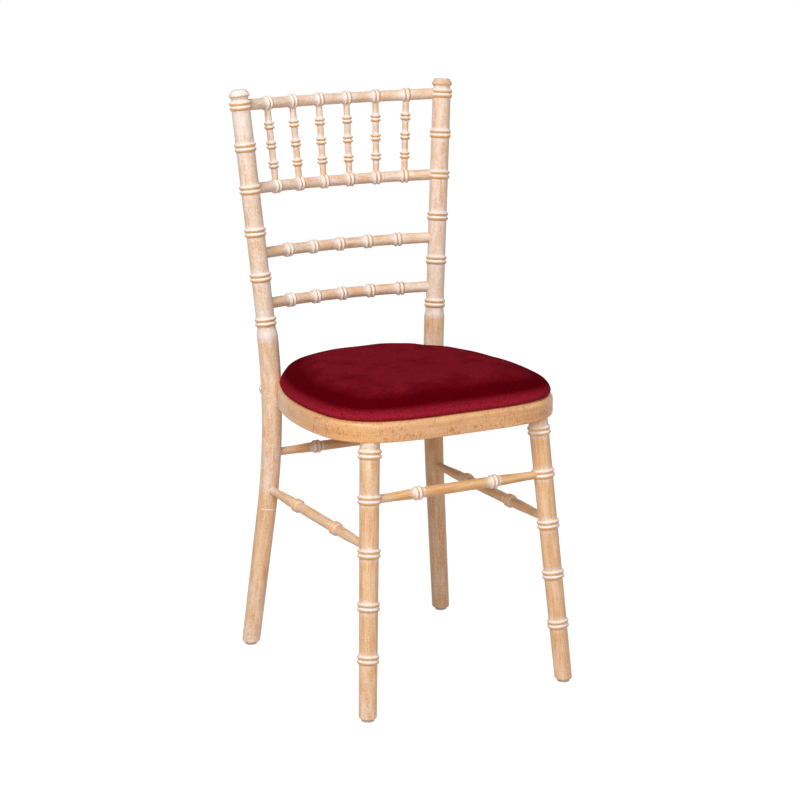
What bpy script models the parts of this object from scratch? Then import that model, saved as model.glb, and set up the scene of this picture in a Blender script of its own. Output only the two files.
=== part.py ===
"""Banqueting chair in bamboo-turned beech, with a bentwood seat ring and a lift-off upholstered pad.

Metres, +Z up. The chair faces -Y, and the left-hand pieces are those at -X. Every piece is laid out in the
seat's own plan, where the front of the seat ring lies on y = 0, and one empty then centres the chair over the
origin.
"""
import math

import bmesh
import bpy
import numpy as np
from mathutils import Matrix, Vector

# Fit of pieces that touch or enter one another, and how far cutters and uncut stock run past finished faces
GAP = 0.0003
CUT_PAST = 0.020
STOCK_PAST = 0.008
SHARP_ANGLE = 42.0

# Overall heights
CHAIR_HEIGHT = 0.915
SEAT_UNDERSIDE = 0.425

# Seat ring: a hoop of bent beech, as tangent arcs in plan (turns in degrees)
RING_WIDTH = 0.032
RING_HEIGHT = 0.031
FRONT_FLAT = 0.060
FRONT_BOW_RADIUS = 0.268
FRONT_BOW_TURN = 15.3
FRONT_CORNER_RADIUS = 0.094
FRONT_CORNER_TURN = 66.1
SIDE_BOW_RADIUS = 0.390
SIDE_BOW_TURN = 40.9
REAR_CORNER_INNER_RADIUS = 0.088
RING_TOP_ROUND = 0.009
RING_EDGE_ROUND = 0.002
RING_ROUND_STEPS = 4
REBATE_WIDTH = 0.009
REBATE_DEPTH = 0.009

# Where the legs meet the ring, as the heading of the ring's outline there (degrees)
LEG_STATION = 33.0
POST_STATION = 125.1

# Front legs
LEG_INSET = 0.0165
LEG_TOP_RADIUS = 0.0155
LEG_FOOT_RADIUS = 0.0139
LEG_BEAD_RISE = 0.0029
LEG_FOOT_OUT = 0.0282
LEG_FOOT_FORWARD = 0.0431
LEG_TENON_RADIUS = 0.009
LEG_TENON_DEPTH = 0.019
LEG_RING_DROPS = (0.0200, 0.0883, 0.1695, 0.2503, 0.3304)

# Rear posts: a straight splayed lower run and a straight raked upper run, joined by one bend (slopes per m).
# Their ring pairs stand at shares of the run from the first pair down to the seat ring, and the post swells
# below a neck under the last pair
POST_RADIUS = 0.0149
POST_BEAD_RISE = 0.0026
POST_SWELL_RADIUS = 0.0169
POST_SEAT_RADIUS = 0.0165
POST_FOOT_RADIUS = 0.0148
POST_LET_IN = 0.0031
POST_SPLAY_OUT = 0.100
POST_SPLAY_BACK = 0.084
POST_RAKE_OUT = 0.077
POST_RAKE_BACK = 0.0745
POST_KNEE_HEIGHT = 0.385
POST_BEND_LENGTH = 0.300
POST_FIRST_RING_DROP = 0.0245
POST_RING_SHARES = (0.0, 0.1507, 0.3042, 0.4608, 0.6267, 0.7917)
POST_NECK_DROP = 0.0080
POST_SWELL_DROP = 0.0235
FINIAL_FLAT_RADIUS = 0.0106
FINIAL_RIDGE_RADIUS = 0.0170
FINIAL_RIDGE_DROP = 0.0090
FINIAL_NECK_RADIUS = 0.0134
FINIAL_NECK_DROP = 0.0150
FINIAL_COVE = (0.45, 0.50)
FINIAL_CROWN = ((0.55, 0.68), (0.10, 0.22))

# Turned rings come in pairs: a long flare, a ridge, a groove, a second ridge and a short drop. The groove's
# rise and the curves' middle points are shares of the run and of the ridges' rise
RING_GROOVE_RISE = 0.30
RING_FLARE_CURVE = (0.28, 0.36)
RING_DROP_CURVE = (0.50, 0.55)
LEG_RIDGE_SPACING = 0.0073
LEG_FLARE = 0.0065
LEG_DROP = 0.0055
RAIL_RIDGE_SPACING = 0.0066
RAIL_FLARE = 0.0081
RAIL_DROP = 0.0054
SPINDLE_RIDGE_SPACING = 0.0062
SPINDLE_FLARE = 0.0062
SPINDLE_DROP = 0.0052

# Back rails, bowed square to the raked posts: place as a share of the back's run, bow, ring pitch and number
# of ring pairs
RAIL_RADIUS = 0.0089
RAIL_BEAD_RISE = 0.0028
BACK_RAILS = {
    "back_top_rail": (0.0, 0.0390, 0.0507, 6),
    "back_gallery_rail": (0.3031, 0.0353, 0.0470, 6),
    "back_mid_rail": (0.5413, 0.0333, 0.0506, 5),
    "back_low_rail": (0.7282, 0.0315, 0.0508, 5),
}
TENON_STOP = 0.0050
SOCKET_RUN = 0.036

# Gallery spindles between the two upper rails
SPINDLE_COUNT = 6
SPINDLE_RADIUS = 0.0052
SPINDLE_END_RADIUS = 0.0050
SPINDLE_BEAD_RISE = 0.0032
SPINDLE_RINGS = (0.268, 0.505, 0.742)
SPINDLE_STOP = 0.0025
SPINDLE_PLAIN_RUN = 0.0127
SPINDLE_EASE_RUN = 0.0060

# Stretchers: height, and ring pairs as shares of the run between the leg axes
STRETCHER_END_RADIUS = 0.0066
STRETCHER_RADIUS = 0.0083
STRETCHER_BEAD_RISE = 0.0027
STRETCHER_TENON_RUN = 0.022
STRETCHER_SWELL_RUN = 0.060
FRONT_STRETCHER_HEIGHT = 0.3352
REAR_STRETCHER_HEIGHT = 0.3294
SIDE_STRETCHER_REAR_HEIGHT = 0.2690
SIDE_STRETCHER_FRONT_HEIGHT = 0.2629
FRONT_STRETCHER_RINGS = (0.267, 0.702)
REAR_STRETCHER_RINGS = (0.27, 0.73)
SIDE_STRETCHER_RINGS = (0.306, 0.686)

# Glides under the feet
GLIDE_RADIUS = 0.0100
GLIDE_HEIGHT = 0.0045
GLIDE_EDGE = 0.0010
GLIDE_PIN_RADIUS = 0.0015
GLIDE_PIN_LENGTH = 0.014
FOOT_CHAMFER = 0.0015

# Bolts that hold the posts to the ring
BOLT_HEIGHT = 0.435
BOLT_RADIUS = 0.0030
BOLT_HEAD_RADIUS = 0.0070
BOLT_HEAD_HEIGHT = 0.0045
BOLT_SPOT_DEPTH = 0.0013
BOLT_TAIL = 0.0030
BOLT_TIP_CHAMFER = 0.0006
BOLT_DOME = ((0.35, 0.98), (0.70, 0.81), (0.92, 0.47), (1.00, 0.25))
WASHER_RADIUS = 0.0070
WASHER_THICKNESS = 0.0012
NUT_RADIUS = 0.0057
NUT_THICKNESS = 0.0050
NUT_SIDES = 6

# Seat panel and its screws
SCREW_HEADINGS = (8.0, 60.0, 110.0)
SCREW_HEAD_RADIUS = 0.0036
SCREW_HEAD_HEIGHT = 0.0026
SCREW_RADIUS = 0.0017
SCREW_LENGTH = 0.017
SCREW_TIP = 0.003

# Lift-off pad
PAD_INSET = 0.0018
PAD_POST_CLEARANCE = 0.0033
PAD_EASE_START = 98.0
PAD_EASE_END = 122.0
PAD_WIDEST_HEIGHT = 0.0060
PAD_RISE = 0.0360
PAD_FLATNESS = 5.0
PAD_ROUNDNESS = 2.2
PAD_EDGE_DRAW = 0.0045
PAD_EDGE_CURVE = ((0.0, 1.0), (0.4, 0.25), (1.0, 0.0))
PAD_UNDER_INSET = 0.031
PAD_CROWN_SHARES = (0.010, 0.045, 0.12, 0.27, 0.57)
PAD_BOARD_INSET = 0.022
PAD_BOARD_THICKNESS = 0.005
PATCH_SIZE = 0.030
PATCH_THICKNESS = 0.0012
PATCH_OUT = 0.085
PATCH_FORWARD = 0.095
PATCH_BACK = 0.275
PATCH_PLACES = {
    "front_left": (-1.0, PATCH_FORWARD), "front_right": (1.0, PATCH_FORWARD),
    "rear_left": (-1.0, PATCH_BACK), "rear_right": (1.0, PATCH_BACK),
}

# Sides of the round pieces
POST_SIDES = 12
RAIL_SIDES = 10
SPINDLE_SIDES = 8
SMALL_SIDES = 12

RING_TOP = SEAT_UNDERSIDE + RING_HEIGHT
BACK_TOP = CHAIR_HEIGHT - POST_FIRST_RING_DROP
BACK_RUN = BACK_TOP - RING_TOP
REBATE_FLOOR = RING_TOP - REBATE_DEPTH
FOOT_HEIGHT = GLIDE_HEIGHT + GAP
SIDES = {"left": -1.0, "right": 1.0}

PARTS = None
CUTTERS = None


def clear_scene():
    """Remove the objects of the open file and make one collection for the chair and one for its cutters."""
    global PARTS, CUTTERS
    for item in list(bpy.data.objects):
        bpy.data.objects.remove(item, do_unlink=True)
    PARTS = bpy.data.collections.new("banqueting_chair")
    CUTTERS = bpy.data.collections.new("cutters")
    bpy.context.scene.collection.children.link(PARTS)
    bpy.context.scene.collection.children.link(CUTTERS)


def linear(hex_colour):
    """Linear RGBA of an sRGB colour written as six hex digits."""
    channels = [int(hex_colour[i:i + 2], 16) / 255.0 for i in (0, 2, 4)]
    return [c / 12.92 if c <= 0.04045 else ((c + 0.055) / 1.055) ** 2.4 for c in channels] + [1.0]


def material(name, hex_colour, roughness, metallic=0.0):
    """One Principled material."""
    made = bpy.data.materials.new(name)
    made.use_nodes = True
    shader = made.node_tree.nodes["Principled BSDF"]
    shader.inputs["Base Color"].default_value = linear(hex_colour)
    shader.inputs["Roughness"].default_value = roughness
    shader.inputs["Metallic"].default_value = metallic
    made.diffuse_color = linear(hex_colour)
    return made


def add_object(name, data, collection):
    """Link a new object into one of the two collections."""
    item = bpy.data.objects.new(name, data)
    collection.objects.link(item)
    if collection == CUTTERS:
        item.hide_render = True
        item.display_type = "WIRE"
    return item


def aim(start, end):
    """Matrix that puts the local origin at start and points local +Z at end."""
    along = Vector(end) - Vector(start)
    return Matrix.Translation(Vector(start)) @ along.to_track_quat("Z", "Y").to_matrix().to_4x4()


def cut(piece, *cutters):
    """Cut each cutter from the piece, in turn."""
    for cutter in cutters:
        step = piece.modifiers.new("cut " + cutter.name, "BOOLEAN")
        step.operation = "DIFFERENCE"
        step.solver = "EXACT"
        step.object = cutter


def fuse(piece, other):
    """Make another solid part of the piece."""
    step = piece.modifiers.new("fuse " + other.name, "BOOLEAN")
    step.operation = "UNION"
    step.solver = "EXACT"
    step.object = other


def cylinder(name, start, end, radius, sides=SMALL_SIDES, collection=None):
    """A plain cylinder from start to end."""
    length = (Vector(end) - Vector(start)).length
    shape = bmesh.new()
    bmesh.ops.create_cone(
        shape, cap_ends=True, segments=sides, radius1=radius, radius2=radius, depth=length,
        matrix=Matrix.Translation((0.0, 0.0, length / 2)),
    )
    mesh = bpy.data.meshes.new(name)
    shape.to_mesh(mesh)
    shape.free()
    item = add_object(name, mesh, collection or CUTTERS)
    item.matrix_world = aim(start, end)
    return item


def turned(name, profile, start, end, sides, collection, closed=False):
    """A solid of revolution about the line from start to end.

    The profile lists (distance from start, radius) in rising order. It is closed on the axis, or on itself
    where the piece has a bore.
    """
    outline = [(radius, 0.0, along) for along, radius in reversed(profile)]
    if not closed:
        outline = [(0.0, 0.0, outline[0][2])] + outline + [(0.0, 0.0, outline[-1][2])]
    edges = [(i, i + 1) for i in range(len(outline) - 1)]
    if closed:
        edges.append((len(outline) - 1, 0))
    mesh = bpy.data.meshes.new(name)
    mesh.from_pydata(outline, edges, [])
    item = add_object(name, mesh, collection)
    item.matrix_world = aim(start, end)
    screw = item.modifiers.new("turn", "SCREW")
    screw.axis = "Z"
    screw.steps = sides
    screw.render_steps = sides
    screw.use_merge_vertices = True
    screw.merge_threshold = 0.00005
    screw.use_smooth_shade = True
    return item


def mesh_from(item, name, collection):
    """Turn a curve object into a closed mesh object of the same place, and remove the curve."""
    bpy.context.view_layer.update()
    graph = bpy.context.evaluated_depsgraph_get()
    mesh = bpy.data.meshes.new_from_object(item.evaluated_get(graph))
    shape = bmesh.new()
    shape.from_mesh(mesh)
    bmesh.ops.remove_doubles(shape, verts=shape.verts, dist=0.00001)
    bmesh.ops.recalc_face_normals(shape, faces=shape.faces)
    shape.to_mesh(mesh)
    shape.free()
    made = add_object(name, mesh, collection)
    made.matrix_world = item.matrix_world.copy()
    bpy.data.objects.remove(item, do_unlink=True)
    return made


def tube(name, points, radii, sides, collection):
    """A round rod along a bent path, with its own radius at each point."""
    data = bpy.data.curves.new(name + "_path", "CURVE")
    data.dimensions = "3D"
    data.bevel_depth = 1.0
    data.bevel_resolution = sides // 2 - 2
    data.use_fill_caps = True
    spline = data.splines.new("POLY")
    spline.points.add(len(points) - 1)
    for slot, place, radius in zip(spline.points, points, radii):
        slot.co = (*place, 1.0)
        slot.radius = radius
    return mesh_from(add_object(name + "_path", data, CUTTERS), name, collection)


def slab(name, plan, low, high, collection):
    """A flat outline, filled and given its thickness between two heights."""
    data = bpy.data.curves.new(name + "_plan", "CURVE")
    data.dimensions = "2D"
    data.fill_mode = "BOTH"
    data.extrude = (high - low) / 2
    spline = data.splines.new("POLY")
    spline.points.add(len(plan) - 1)
    for slot, (x, y) in zip(spline.points, plan):
        slot.co = (x, y, 0.0, 1.0)
    spline.use_cyclic_u = True
    item = add_object(name + "_plan", data, CUTTERS)
    item.location.z = (high + low) / 2
    return mesh_from(item, name, collection)


def outward(heading):
    """Direction out of the seat where its outline runs at this heading."""
    return np.array((math.sin(heading), -math.cos(heading)))


def ring_arcs(inset=0.0):
    """Centre, radius, first heading and last heading of each arc of the seat's right half, from the front."""
    turns = (
        (FRONT_BOW_RADIUS, FRONT_BOW_TURN),
        (FRONT_CORNER_RADIUS, FRONT_CORNER_TURN),
        (SIDE_BOW_RADIUS, SIDE_BOW_TURN),
        (REAR_CORNER_INNER_RADIUS + RING_WIDTH, 180.0 - FRONT_BOW_TURN - FRONT_CORNER_TURN - SIDE_BOW_TURN),
    )
    arcs = []
    place = np.array((FRONT_FLAT, 0.0))
    heading = 0.0
    for radius, turn in turns:
        centre = place - outward(heading) * radius
        last = heading + math.radians(turn)
        arcs.append((centre, radius - inset, heading, last))
        place = centre + outward(last) * radius
        heading = last
    return arcs


def station(degrees, inset=0.0):
    """Point of the right half's outline at a heading, and the direction out of the seat there."""
    heading = math.radians(degrees)
    for centre, radius, first, last in ring_arcs(inset):
        if first <= heading <= last:
            return centre + outward(heading) * radius, outward(heading)
    raise ValueError("no arc of the seat has this heading")


def seat_plan(inset=0.0, step=9.0, run=0.045):
    """Whole outline of the seat as points and outward headings, drawn in by an inset."""
    half = []
    for centre, radius, first, last in ring_arcs(inset):
        length = (last - first) * (radius + inset)
        pieces = max(math.ceil(math.degrees(last - first) / step), math.ceil(length / run))
        start = 0 if first == 0.0 else 1
        for i in range(start, pieces + 1):
            heading = first + (last - first) * i / pieces
            half.append((tuple(centre + outward(heading) * radius), heading))
    return half + [((-x, y), 2 * math.pi - heading) for (x, y), heading in reversed(half)]


def post_axis(height):
    """Point of the right post's axis at a height."""
    place, out = station(POST_STATION)
    seat = place + out * (POST_SEAT_RADIUS - POST_LET_IN)
    low = POST_KNEE_HEIGHT - POST_BEND_LENGTH / 2
    high = POST_KNEE_HEIGHT + POST_BEND_LENGTH / 2

    def lean(z, splay, rake):
        if z <= low:
            return splay * (POST_KNEE_HEIGHT - z)
        if z >= high:
            return rake * (z - POST_KNEE_HEIGHT)
        return splay * (POST_KNEE_HEIGHT - z) + (splay + rake) * (z - low) ** 2 / (2 * POST_BEND_LENGTH)

    middle = SEAT_UNDERSIDE + RING_HEIGHT / 2
    x = seat[0] + lean(height, POST_SPLAY_OUT, POST_RAKE_OUT) - lean(middle, POST_SPLAY_OUT, POST_RAKE_OUT)
    y = seat[1] + lean(height, POST_SPLAY_BACK, POST_RAKE_BACK) - lean(middle, POST_SPLAY_BACK, POST_RAKE_BACK)
    return Vector((x, y, height))


def leg_axis(height):
    """Point of the right front leg's axis at a height."""
    place, _ = station(LEG_STATION, LEG_INSET)
    share = (SEAT_UNDERSIDE - height) / SEAT_UNDERSIDE
    return Vector((place[0] + LEG_FOOT_OUT * share, place[1] - LEG_FOOT_FORWARD * share, height))


def on_side(point, side):
    """The same point on the chosen side of the chair."""
    return Vector((point[0] * side, point[1], point[2]))


def ring_pair(at, body, rise, spacing, flare, drop, way=1.0, hollow=True):
    """Profile points of one pair of turned rings.

    way is -1 where the flare lies at the far end, and hollow gives the flare and the drop their curve.
    """
    half = spacing / 2
    steps = [(-half - flare, 0.0), (-half, 1.0), (0.0, RING_GROOVE_RISE), (half, 1.0), (half + drop, 0.0)]
    if hollow:
        steps.append((-half - flare * RING_FLARE_CURVE[0], RING_FLARE_CURVE[1]))
        steps.append((half + drop * RING_DROP_CURVE[0], RING_DROP_CURVE[1]))
    points = [(at + offset * way, body(at + offset * way) + rise * share) for offset, share in steps]
    return sorted(points)


def with_rings(ends, body, rings, rise, spacing, flare, drop):
    """Profile of a thin turned member: its two ends, and the ring pairs between them."""
    first, last = ends
    points = [(first, body(first))]
    for at in sorted(rings):
        points += ring_pair(at, body, rise, spacing, flare, drop, hollow=False)
    points.append((last, body(last)))
    return points


def smooth(share):
    """Ease from 0 to 1."""
    share = min(max(share, 0.0), 1.0)
    return share * share * (3.0 - 2.0 * share)


def between(a, b, share):
    """Value at a share of the way from a to b."""
    return a + (b - a) * share


def foot_cutter(name, place, radius):
    """Takes off all below the foot's flat end, and a chamfer round it."""
    reach = radius + CUT_PAST
    profile = [(-CUT_PAST, reach), (CUT_PAST + FOOT_CHAMFER, reach), (0.0, radius - FOOT_CHAMFER)]
    points = [(0.0, 0.0, 0.0)] + [(r, 0.0, z) for z, r in reversed(profile)] + [(0.0, 0.0, -CUT_PAST)]
    mesh = bpy.data.meshes.new(name)
    mesh.from_pydata(points, [(i, i + 1) for i in range(len(points) - 1)], [])
    item = add_object(name, mesh, CUTTERS)
    item.location = (place[0], place[1], FOOT_HEIGHT)
    screw = item.modifiers.new("turn", "SCREW")
    screw.axis = "Z"
    screw.steps = SMALL_SIDES
    screw.render_steps = SMALL_SIDES
    screw.use_merge_vertices = True
    screw.merge_threshold = 0.00005
    return item


def pin_hole(name, place):
    """Hole for a glide's pin."""
    low = Vector((place[0], place[1], FOOT_HEIGHT - CUT_PAST))
    high = Vector((place[0], place[1], GLIDE_HEIGHT + GLIDE_PIN_LENGTH + GAP))
    return cylinder(name, low, high, GLIDE_PIN_RADIUS + GAP, SPINDLE_SIDES)


def make_glide(name, place):
    """Nailed nylon glide that the foot stands on."""
    profile = [
        (0.0, GLIDE_RADIUS - GLIDE_EDGE), (GLIDE_EDGE, GLIDE_RADIUS), (GLIDE_HEIGHT - GLIDE_EDGE, GLIDE_RADIUS),
        (GLIDE_HEIGHT, GLIDE_RADIUS - GLIDE_EDGE), (GLIDE_HEIGHT, GLIDE_PIN_RADIUS),
        (GLIDE_HEIGHT + GLIDE_PIN_LENGTH, GLIDE_PIN_RADIUS),
    ]
    start = Vector((place[0], place[1], 0.0))
    return turned(name, profile, start, start + Vector((0.0, 0.0, 1.0)), SMALL_SIDES, PARTS)


def post_body(height):
    """Radius of a rear post between its rings."""
    neck, swell = post_swell()
    if height >= neck:
        return POST_RADIUS
    if height >= swell:
        return between(POST_RADIUS, POST_SWELL_RADIUS, smooth((neck - height) / (neck - swell)))
    if height >= SEAT_UNDERSIDE:
        return between(POST_SWELL_RADIUS, POST_SEAT_RADIUS, (swell - height) / (swell - SEAT_UNDERSIDE))
    return between(POST_SEAT_RADIUS, POST_FOOT_RADIUS, (SEAT_UNDERSIDE - height) / SEAT_UNDERSIDE)


def post_ring_heights():
    """Heights of the grooves between the post's ring pairs, from the top."""
    return [BACK_TOP - BACK_RUN * share for share in POST_RING_SHARES]


def post_swell():
    """Heights at which a post's neck ends and its swell is full."""
    last_ring = post_ring_heights()[-1]
    return last_ring - POST_NECK_DROP, last_ring - POST_SWELL_DROP


def post_profile():
    """(height, radius) up one rear post, from below the foot to the finial."""
    rings = post_ring_heights()
    points = [(height, post_body(height)) for height in np.linspace(-STOCK_PAST, RING_TOP, 8)]
    neck, swell = post_swell()
    points += [(height, post_body(height)) for height in (swell, between(swell, neck, 0.5))]
    for at in reversed(rings):
        points += ring_pair(at, post_body, POST_BEAD_RISE, LEG_RIDGE_SPACING, LEG_FLARE, LEG_DROP, way=-1.0)
    top_flare = rings[0] + LEG_RIDGE_SPACING / 2 + LEG_FLARE
    points = [point for point in points if point[0] < top_flare - LEG_FLARE * 0.8]
    cove_drop = between(FINIAL_RIDGE_DROP, FINIAL_NECK_DROP, FINIAL_COVE[0])
    cove_radius = between(FINIAL_NECK_RADIUS, FINIAL_RIDGE_RADIUS, FINIAL_COVE[1])
    points += [
        (CHAIR_HEIGHT - FINIAL_NECK_DROP, FINIAL_NECK_RADIUS),
        (CHAIR_HEIGHT - cove_drop, cove_radius),
        (CHAIR_HEIGHT - FINIAL_RIDGE_DROP, FINIAL_RIDGE_RADIUS),
        (CHAIR_HEIGHT, FINIAL_FLAT_RADIUS),
    ]
    for down, out in FINIAL_CROWN:
        radius = between(FINIAL_FLAT_RADIUS, FINIAL_RIDGE_RADIUS, out)
        points.append((CHAIR_HEIGHT - FINIAL_RIDGE_DROP * down, radius))
    return sorted(points)


def make_posts(cutters):
    """The two bent rear posts, each turned with ring pairs, let in to the seat ring and bored for its rails."""
    profile = post_profile()
    posts = {}
    for word, side in SIDES.items():
        path = [on_side(post_axis(height), side) for height, _ in profile]
        post = tube("rear_post_" + word, path, [radius for _, radius in profile], POST_SIDES, PARTS)
        foot = on_side(post_axis(FOOT_HEIGHT), side)
        cut(post, cutters["seat"], *cutters["rails"])
        cut(post, foot_cutter("rear_foot_end_" + word, foot, POST_FOOT_RADIUS))
        cut(post, pin_hole("rear_pin_hole_" + word, foot))
        cut(post, *cutters["bolt_" + word])
        posts[word] = post
    return posts


def leg_body(height):
    """Radius of a front leg between its rings."""
    return between(LEG_TOP_RADIUS, LEG_FOOT_RADIUS, (SEAT_UNDERSIDE - height) / SEAT_UNDERSIDE)


def make_front_legs():
    """The two turned front legs, tenoned up into the seat ring."""
    legs = {}
    for word, side in SIDES.items():
        foot = on_side(leg_axis(-STOCK_PAST), side)
        top = on_side(leg_axis(SEAT_UNDERSIDE + STOCK_PAST), side)
        stretch = (top - foot).length / (SEAT_UNDERSIDE + 2 * STOCK_PAST)
        points = [(-STOCK_PAST, leg_body(0.0)), (SEAT_UNDERSIDE + STOCK_PAST, leg_body(SEAT_UNDERSIDE))]
        for drop in reversed(LEG_RING_DROPS):
            at = SEAT_UNDERSIDE - drop
            points += ring_pair(at, leg_body, LEG_BEAD_RISE, LEG_RIDGE_SPACING, LEG_FLARE, LEG_DROP, way=-1.0)
        profile = [((height + STOCK_PAST) * stretch, radius) for height, radius in sorted(points)]
        leg = turned("front_leg_" + word, profile, foot, top, POST_SIDES, PARTS)
        cut(leg, seat_slab_cutter("leg_top_" + word, on_side(leg_axis(SEAT_UNDERSIDE), side)))
        root = on_side(leg_axis(SEAT_UNDERSIDE - STOCK_PAST), side)
        tip = on_side(leg_axis(SEAT_UNDERSIDE + LEG_TENON_DEPTH), side)
        fuse(leg, cylinder("leg_tenon_" + word, root, tip, LEG_TENON_RADIUS))
        place = on_side(leg_axis(FOOT_HEIGHT), side)
        cut(leg, foot_cutter("front_foot_end_" + word, place, LEG_FOOT_RADIUS))
        cut(leg, pin_hole("front_pin_hole_" + word, place))
        legs[word] = leg
    return legs


def seat_slab_cutter(name, place):
    """Takes off what would rise past the underside of the seat ring."""
    low = Vector((place[0], place[1], SEAT_UNDERSIDE - GAP))
    return cylinder(name, low, low + Vector((0.0, 0.0, CUT_PAST)), LEG_TOP_RADIUS + CUT_PAST)


def ring_section():
    """Section of the seat ring as (inward distance, height), anticlockwise seen along the run."""
    w, h, r, e = RING_WIDTH, RING_HEIGHT, RING_TOP_ROUND, RING_EDGE_ROUND
    points = [(w, e), (w - e, 0.0), (e, 0.0), (0.0, e)]
    for i in range(RING_ROUND_STEPS + 1):
        turn = math.radians(90.0 * i / RING_ROUND_STEPS)
        points.append((r * (1 - math.cos(turn)), h - r + r * math.sin(turn)))
    return points + [(w - REBATE_WIDTH, h), (w - REBATE_WIDTH, h - REBATE_DEPTH), (w, h - REBATE_DEPTH)]


def make_seat_ring(cutters):
    """The bentwood hoop, swept along its plan and rebated for the panel."""
    section = bpy.data.curves.new("ring_section", "CURVE")
    section.dimensions = "2D"
    spline = section.splines.new("POLY")
    points = ring_section()
    spline.points.add(len(points) - 1)
    for slot, (inward, height) in zip(spline.points, points):
        slot.co = (-inward, height, 0.0, 1.0)
    spline.use_cyclic_u = True
    section_object = add_object("ring_section", section, CUTTERS)
    data = bpy.data.curves.new("ring_path", "CURVE")
    data.dimensions = "3D"
    data.twist_mode = "Z_UP"
    data.bevel_mode = "OBJECT"
    data.bevel_object = section_object
    plan = seat_plan()
    spline = data.splines.new("POLY")
    spline.points.add(len(plan) - 1)
    for slot, ((x, y), _) in zip(spline.points, plan):
        slot.co = (x, y, 0.0, 1.0)
    spline.use_cyclic_u = True
    path = add_object("ring_path", data, CUTTERS)
    path.location.z = SEAT_UNDERSIDE
    ring = mesh_from(path, "seat_ring", PARTS)
    for word, side in SIDES.items():
        root = on_side(leg_axis(SEAT_UNDERSIDE - STOCK_PAST), side)
        tip = on_side(leg_axis(SEAT_UNDERSIDE + LEG_TENON_DEPTH + GAP), side)
        cut(ring, cylinder("leg_socket_" + word, root, tip, LEG_TENON_RADIUS + GAP))
        cut(ring, *cutters["bolt_" + word])
    cut(ring, *cutters["screws"])
    return ring


def bolt_frame(side):
    """Post axis at the bolt's height, and the way out along the bolt."""
    out = station(POST_STATION)[1]
    return on_side(post_axis(BOLT_HEIGHT), side), Vector((out[0] * side, out[1], 0.0))


def bolt_reach():
    """Distances along the bolt from the post's axis: head seat outwards, and the ring's inner face inwards."""
    axis, out = bolt_frame(1.0)
    face = station(POST_STATION)[0]
    let = (Vector((axis[0], axis[1], 0.0)) - Vector((face[0], face[1], 0.0))).dot(out)
    return POST_SEAT_RADIUS - BOLT_SPOT_DEPTH, let + RING_WIDTH


def bolt_cutters(word, side):
    """Bolt hole and the flats that its head and washer seat on."""
    axis, out = bolt_frame(side)
    head, inner = bolt_reach()
    far_in = axis - out * (inner + CUT_PAST)
    far_out = axis + out * (head + CUT_PAST)
    hole = cylinder("bolt_hole_" + word, far_in, far_out, BOLT_RADIUS + GAP)
    spot = cylinder("bolt_spot_" + word, axis + out * head, far_out, BOLT_HEAD_RADIUS + GAP)
    seat = cylinder("washer_spot_" + word, axis - out * inner, far_in, WASHER_RADIUS + 2 * GAP)
    return [hole, spot, seat]


def make_bolts():
    """Dome-headed bolts through posts and ring, with a washer and nut inside."""
    head, inner = bolt_reach()
    fixings = []
    for word, side in SIDES.items():
        axis, out = bolt_frame(side)
        tail = inner + GAP + WASHER_THICKNESS + GAP + NUT_THICKNESS + BOLT_TAIL
        start = axis - out * tail
        seat = tail + head + GAP
        profile = [(0.0, BOLT_RADIUS - BOLT_TIP_CHAMFER), (BOLT_TIP_CHAMFER, BOLT_RADIUS)]
        profile += [(seat, BOLT_RADIUS), (seat, BOLT_HEAD_RADIUS)]
        profile += [(seat + BOLT_HEAD_HEIGHT * up, BOLT_HEAD_RADIUS * across) for up, across in BOLT_DOME]
        fixings.append(turned("post_bolt_" + word, profile, start, start + out, SMALL_SIDES, PARTS))
        face = axis - out * (inner + GAP)
        ring = [
            (0.0, BOLT_RADIUS + GAP), (0.0, WASHER_RADIUS), (WASHER_THICKNESS, WASHER_RADIUS),
            (WASHER_THICKNESS, BOLT_RADIUS + GAP),
        ]
        fixings.append(turned("bolt_washer_" + word, ring, face, face - out, SMALL_SIDES, PARTS, closed=True))
        near = axis - out * (inner + 2 * GAP + WASHER_THICKNESS)
        nut = cylinder("bolt_nut_" + word, near, near - out * NUT_THICKNESS, NUT_RADIUS, NUT_SIDES, PARTS)
        cut(nut, cylinder("nut_bore_" + word, near + out * CUT_PAST, near - out * CUT_PAST, BOLT_RADIUS + GAP))
        fixings.append(nut)
    return fixings


def screw_places():
    """Tops of the panel screws, over the middle of the rebate."""
    places = []
    for side in SIDES.values():
        for heading in SCREW_HEADINGS:
            place, _ = station(heading, RING_WIDTH - REBATE_WIDTH / 2)
            places.append(Vector((place[0] * side, place[1], RING_TOP)))
    return places


def make_panel(cutters):
    """Plywood panel in the ring's rebate, with its countersunk screws."""
    plan = [point for point, _ in seat_plan(RING_WIDTH - REBATE_WIDTH + GAP)]
    panel = slab("seat_panel", plan, REBATE_FLOOR + GAP, RING_TOP, PARTS)
    cut(panel, *cutters["screws"])
    screws = []
    for i, place in enumerate(screw_places()):
        profile = [
            (-SCREW_LENGTH, SCREW_RADIUS / 2), (-SCREW_LENGTH + SCREW_TIP, SCREW_RADIUS),
            (-SCREW_HEAD_HEIGHT - GAP, SCREW_RADIUS), (-2 * GAP, SCREW_HEAD_RADIUS), (-GAP, SCREW_HEAD_RADIUS),
        ]
        up = place + Vector((0.0, 0.0, 1.0))
        screws.append(turned("panel_screw_%d" % (i + 1), profile, place, up, SPINDLE_SIDES, PARTS))
    return [panel] + screws


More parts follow.
